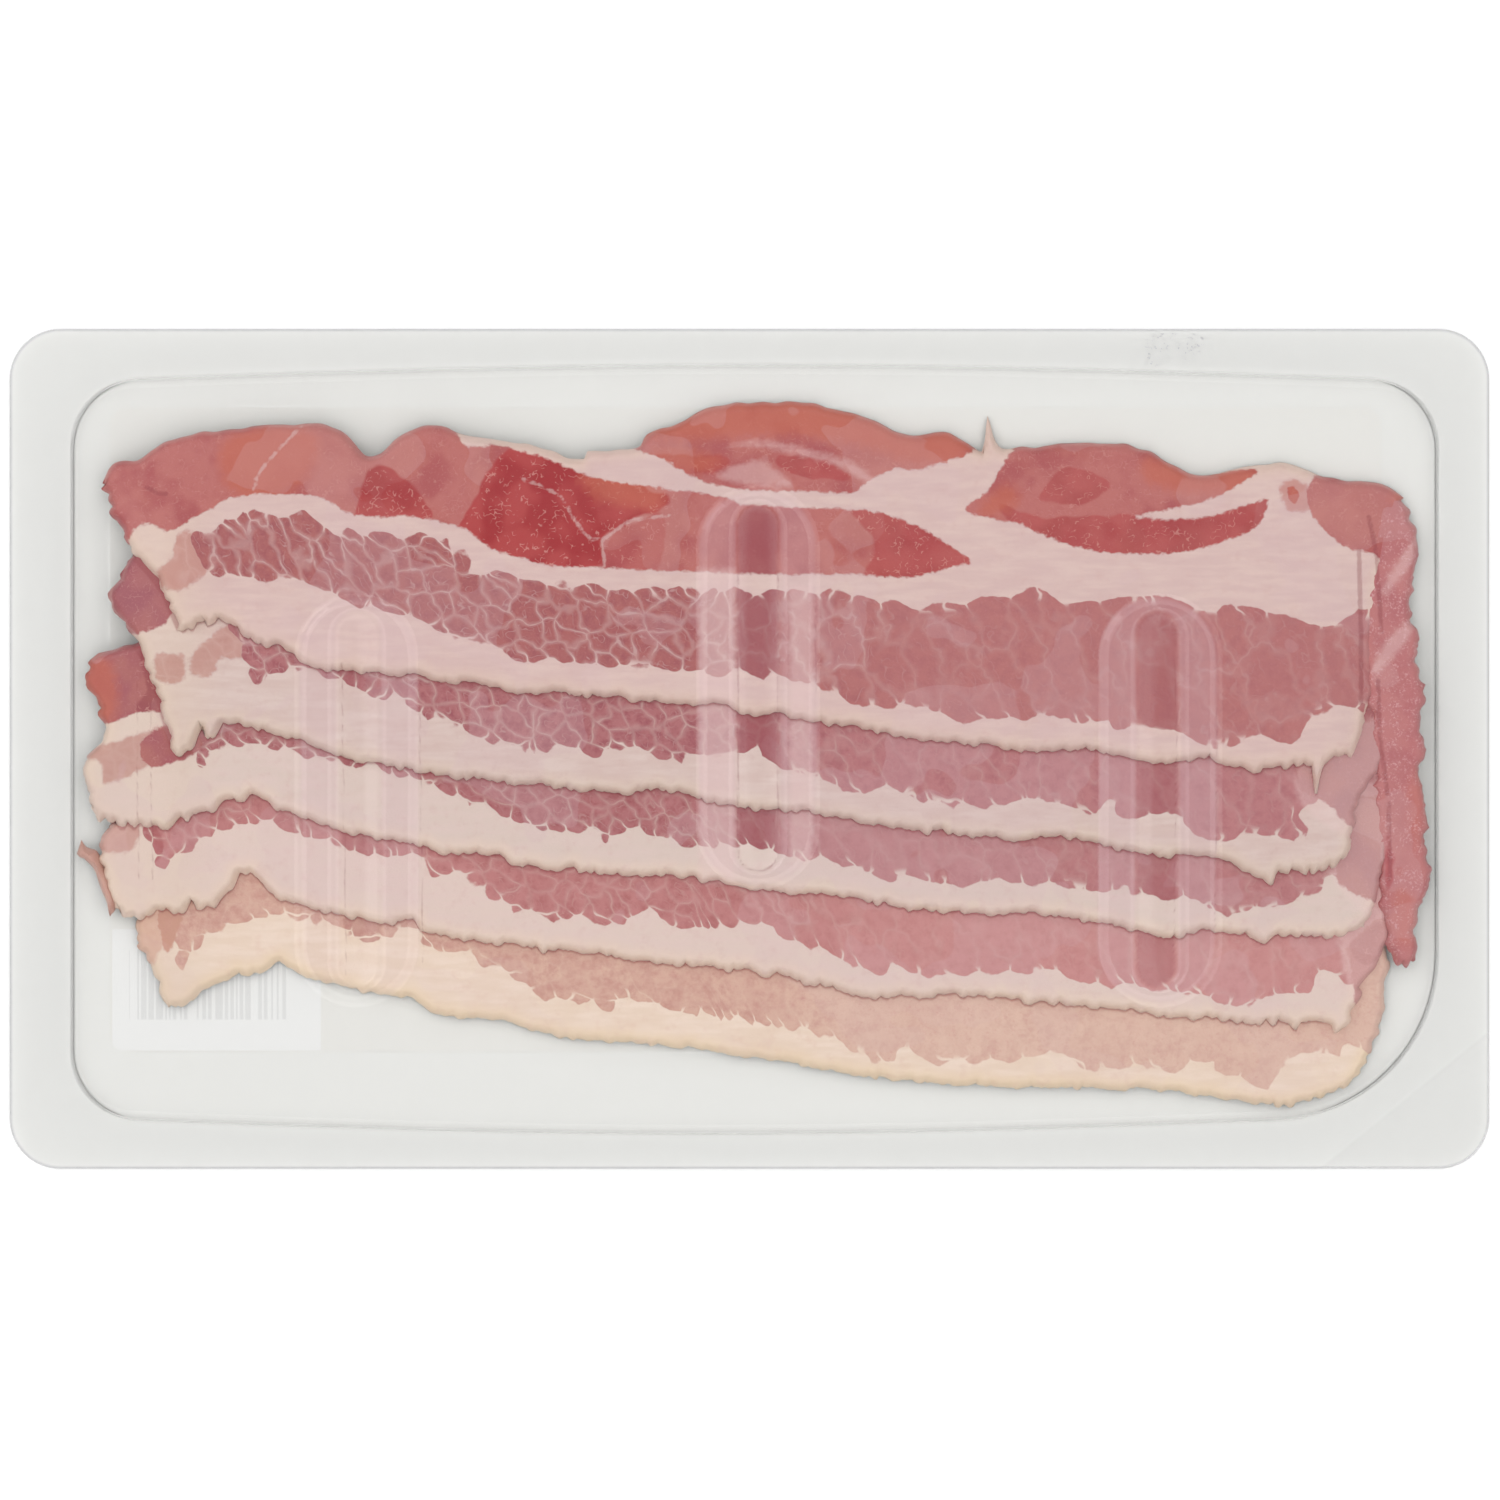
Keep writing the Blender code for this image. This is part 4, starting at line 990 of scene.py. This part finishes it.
def rounded_outline(left, right, near, far, radii, bow=0.0, arc_steps=16, side_steps=16):
    """Points anticlockwise from the near left corner, the long sides bowed out."""
    corners = ((left, near, 180), (right, near, 270), (right, far, 0), (left, far, 90))
    arcs = []
    for (x, y, start), radius in zip(corners, radii):
        centre = np.array([x + radius * (1 if x == left else -1), y + radius * (1 if y == near else -1)])
        angles = np.radians(start + np.linspace(0, 90, arc_steps + 1))[:, None]
        arcs.append(centre + radius * np.hstack([np.cos(angles), np.sin(angles)]))
    points = []
    for index, arc in enumerate(arcs):
        points.extend(arc)
        begin, end = arc[-1], arcs[(index + 1) % 4][0]
        outward = np.array([0, (-bow, 0, bow, 0)[index]])
        for part in np.arange(1, side_steps) / side_steps:
            points.append(begin + (end - begin) * part + outward * math.sin(math.pi * part))
    return np.array(points)


def oval(centre_x, near, far, width, arc_steps=16):
    """Points of a long hole with round ends, anticlockwise."""
    radius = width / 2
    points = []
    for centre_y, start in ((near + radius, 180), (far - radius, 0)):
        for angle in np.radians(start + np.linspace(0, 180, arc_steps + 1)):
            points.append((centre_x + radius * math.cos(angle), centre_y + radius * math.sin(angle)))
    return np.array(points)


def ring(mesh, outline, z):
    return [mesh.verts.new((x * MM, y * MM, z)) for x, y in outline]


def loft(mesh, rings):
    """Faces between each ring and the next."""
    for inner, outer in zip(rings, rings[1:]):
        for index in range(len(inner)):
            after = (index + 1) % len(inner)
            mesh.faces.new((inner[index], inner[after], outer[after], outer[index]))


def rim_edges(corners):
    """The open edges that join these corners."""
    known = set(corners)
    edges = set()
    for corner in corners:
        edges.update(e for e in corner.link_edges if e.is_boundary and e.other_vert(corner) in known)
    return list(edges)


mesh = bmesh.new()
half_x, half_y = PACK_LENGTH_MM / 2, PACK_WIDTH_MM / 2
rings = []
for inset in (0.0, 0.3, 0.6):
    outline = rounded_outline(-half_x + inset, half_x - inset, -half_y + inset, half_y - inset,
                              [FLANGE_RADIUS_MM - inset] * 4)
    rings.append(ring(mesh, outline, flange_top))
left, right, near, far = CAVITY
for start, steps in ((flange_top, FOOT_RINGS), (panel_top, PANEL_RINGS)):
    for inset, rise in steps:
        radii = [radius - inset for radius in CAVITY_RADII_MM]
        outline = rounded_outline(left + inset, right - inset, near + inset, far - inset, radii,
                                  SIDE_BOW_MM)
        rings.append(ring(mesh, outline, start + rise * MM))
loft(mesh, rings)
edges = rim_edges(rings[-1])
for centre_x, near, far in RIBS:
    rib = [ring(mesh, oval(centre_x, near + setback, far - setback, width), panel_top + rise * MM)
           for width, setback, rise in RIB_RINGS]
    loft(mesh, rib)
    edges += rim_edges(rib[0])
    bmesh.ops.edgeloop_fill(mesh, edges=rim_edges(rib[-1]))
bmesh.ops.triangle_fill(mesh, edges=edges, use_beauty=True)
bmesh.ops.recalc_face_normals(mesh, faces=mesh.faces)
if max(mesh.faces, key=lambda f: f.calc_center_median().z).normal.z < 0:
    bmesh.ops.reverse_faces(mesh, faces=mesh.faces)
data = bpy.data.meshes.new("clear_formed_tray")
mesh.to_mesh(data)
mesh.free()
tray = bpy.data.objects.new("clear_formed_tray", data)
bpy.context.scene.collection.objects.link(tray)
bpy.ops.object.select_all(action="DESELECT")
bpy.context.view_layer.objects.active = tray
tray.select_set(True)
shell = tray.modifiers.new("sheet", "SOLIDIFY")
shell.thickness = TRAY_THICKNESS
shell.offset = -1.0
shell.use_even_offset = True
bpy.ops.object.modifier_apply(modifier="sheet")
bpy.ops.object.shade_smooth_by_angle(angle=math.radians(40))
data.materials.append(clear_plastic("clear_pet_tray", "FDFDFD"))
tray.visible_shadow = False

# The flange is milky where the seal has melted, greyer at the cut edge, less milky at the
# peel corner, and scuffed in one place by the tray beside it in the box.
SCUFF = (70.0, 67.5, 83.5, 73.6)
PEEL_LINE = ((104.0, -71.5), (130.0, -50.4))
points = coordinates(data)
cut_edge = rounded_outline(-half_x, half_x, -half_y, half_y, [FLANGE_RADIUS_MM] * 4)
write_attribute(data, "inset", np.abs(reach(points[:, 0] / MM, points[:, 1] / MM, cut_edge)))
tree = new_material("sealed_pet_flange")
place = node(tree, "TexCoord")
mm = node(tree, "VectorMath", {0: place.outputs["Object"], 3: 1000.0}, operation="SCALE")
position = node(tree, "SeparateXYZ", {0: mm.outputs[0]})
inset = node(tree, "Attribute", attribute_name="inset")
cut = node(tree, "MapRange", {"Value": inset.outputs["Fac"], "From Min": 0.15, "From Max": 0.6,
                              "To Min": 1.0, "To Max": 0.0})
(x0, y0), (x1, y1) = PEEL_LINE
on_line = x0 * (y1 - y0) - y0 * (x1 - x0)
across = node(tree, "VectorMath", {0: mm.outputs[0], 1: (y1 - y0, x0 - x1, 0.0)},
              operation="DOT_PRODUCT")
beyond = node(tree, "MapRange", {"Value": across.outputs["Value"], "From Min": on_line,
                                 "From Max": on_line + 20.0, "To Min": 0.0, "To Max": 0.06})
box = inside(tree, position, SCUFF)
grit = node(tree, "TexNoise", {"Vector": mm.outputs[0], "Scale": 1.6, "Detail": 3.0, "Roughness": 0.7})
cloud = node(tree, "TexNoise", {"Vector": mm.outputs[0], "Scale": 0.22, "Detail": 1.0})
specks = node(tree, "MapRange", {"Value": grit.outputs[0], "From Min": 0.57, "From Max": 0.66})
dense = node(tree, "MapRange", {"Value": cloud.outputs[0], "From Min": 0.42, "From Max": 0.6})
scuff = node(tree, "Math", {0: specks.outputs[0], 1: dense.outputs[0]}, operation="MULTIPLY")
scuff = node(tree, "Math", {0: scuff.outputs[0], 1: box}, operation="MULTIPLY")
grey = node(tree, "Math", {0: cut.outputs[0], 1: 0.6}, operation="MULTIPLY")
scuff_and_grey_edge = node(tree, "Math", {0: scuff.outputs[0], 1: grey.outputs[0]}, operation="MAXIMUM")
milk_colour = node(tree, "Mix", {0: scuff_and_grey_edge.outputs[0], 6: colour("E9E9E7"), 7: colour("8C8C94")},
                   data_type="RGBA")
clear = node(tree, "BsdfTransparent", {"Color": colour("FDFDFD")})
milk = node(tree, "BsdfDiffuse", {"Color": milk_colour.outputs[2]})
haze = node(tree, "Math", {0: scuff.outputs[0], 1: 0.4, 2: 0.42}, operation="MULTIPLY_ADD")
haze = node(tree, "Math", {0: haze.outputs[0], 1: beyond.outputs[0]}, operation="SUBTRACT")
sealed = node(tree, "MixShader", {0: haze.outputs[0], 1: clear.outputs[0], 2: milk.outputs[0]})
gloss = node(tree, "BsdfGlossy", {"Color": (1, 1, 1, 1), "Roughness": 0.0})
skin = node(tree, "MixShader", {0: 0.02, 1: sealed.outputs[0], 2: gloss.outputs[0]})
node(tree, "OutputMaterial", {"Surface": skin.outputs[0]})
data.materials.append(bpy.data.materials["sealed_pet_flange"])
for face in data.polygons:
    face.material_index = 1 if face.center.z < flange_top + 0.1 * MM else 0
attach(tray, "root")
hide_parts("tray")
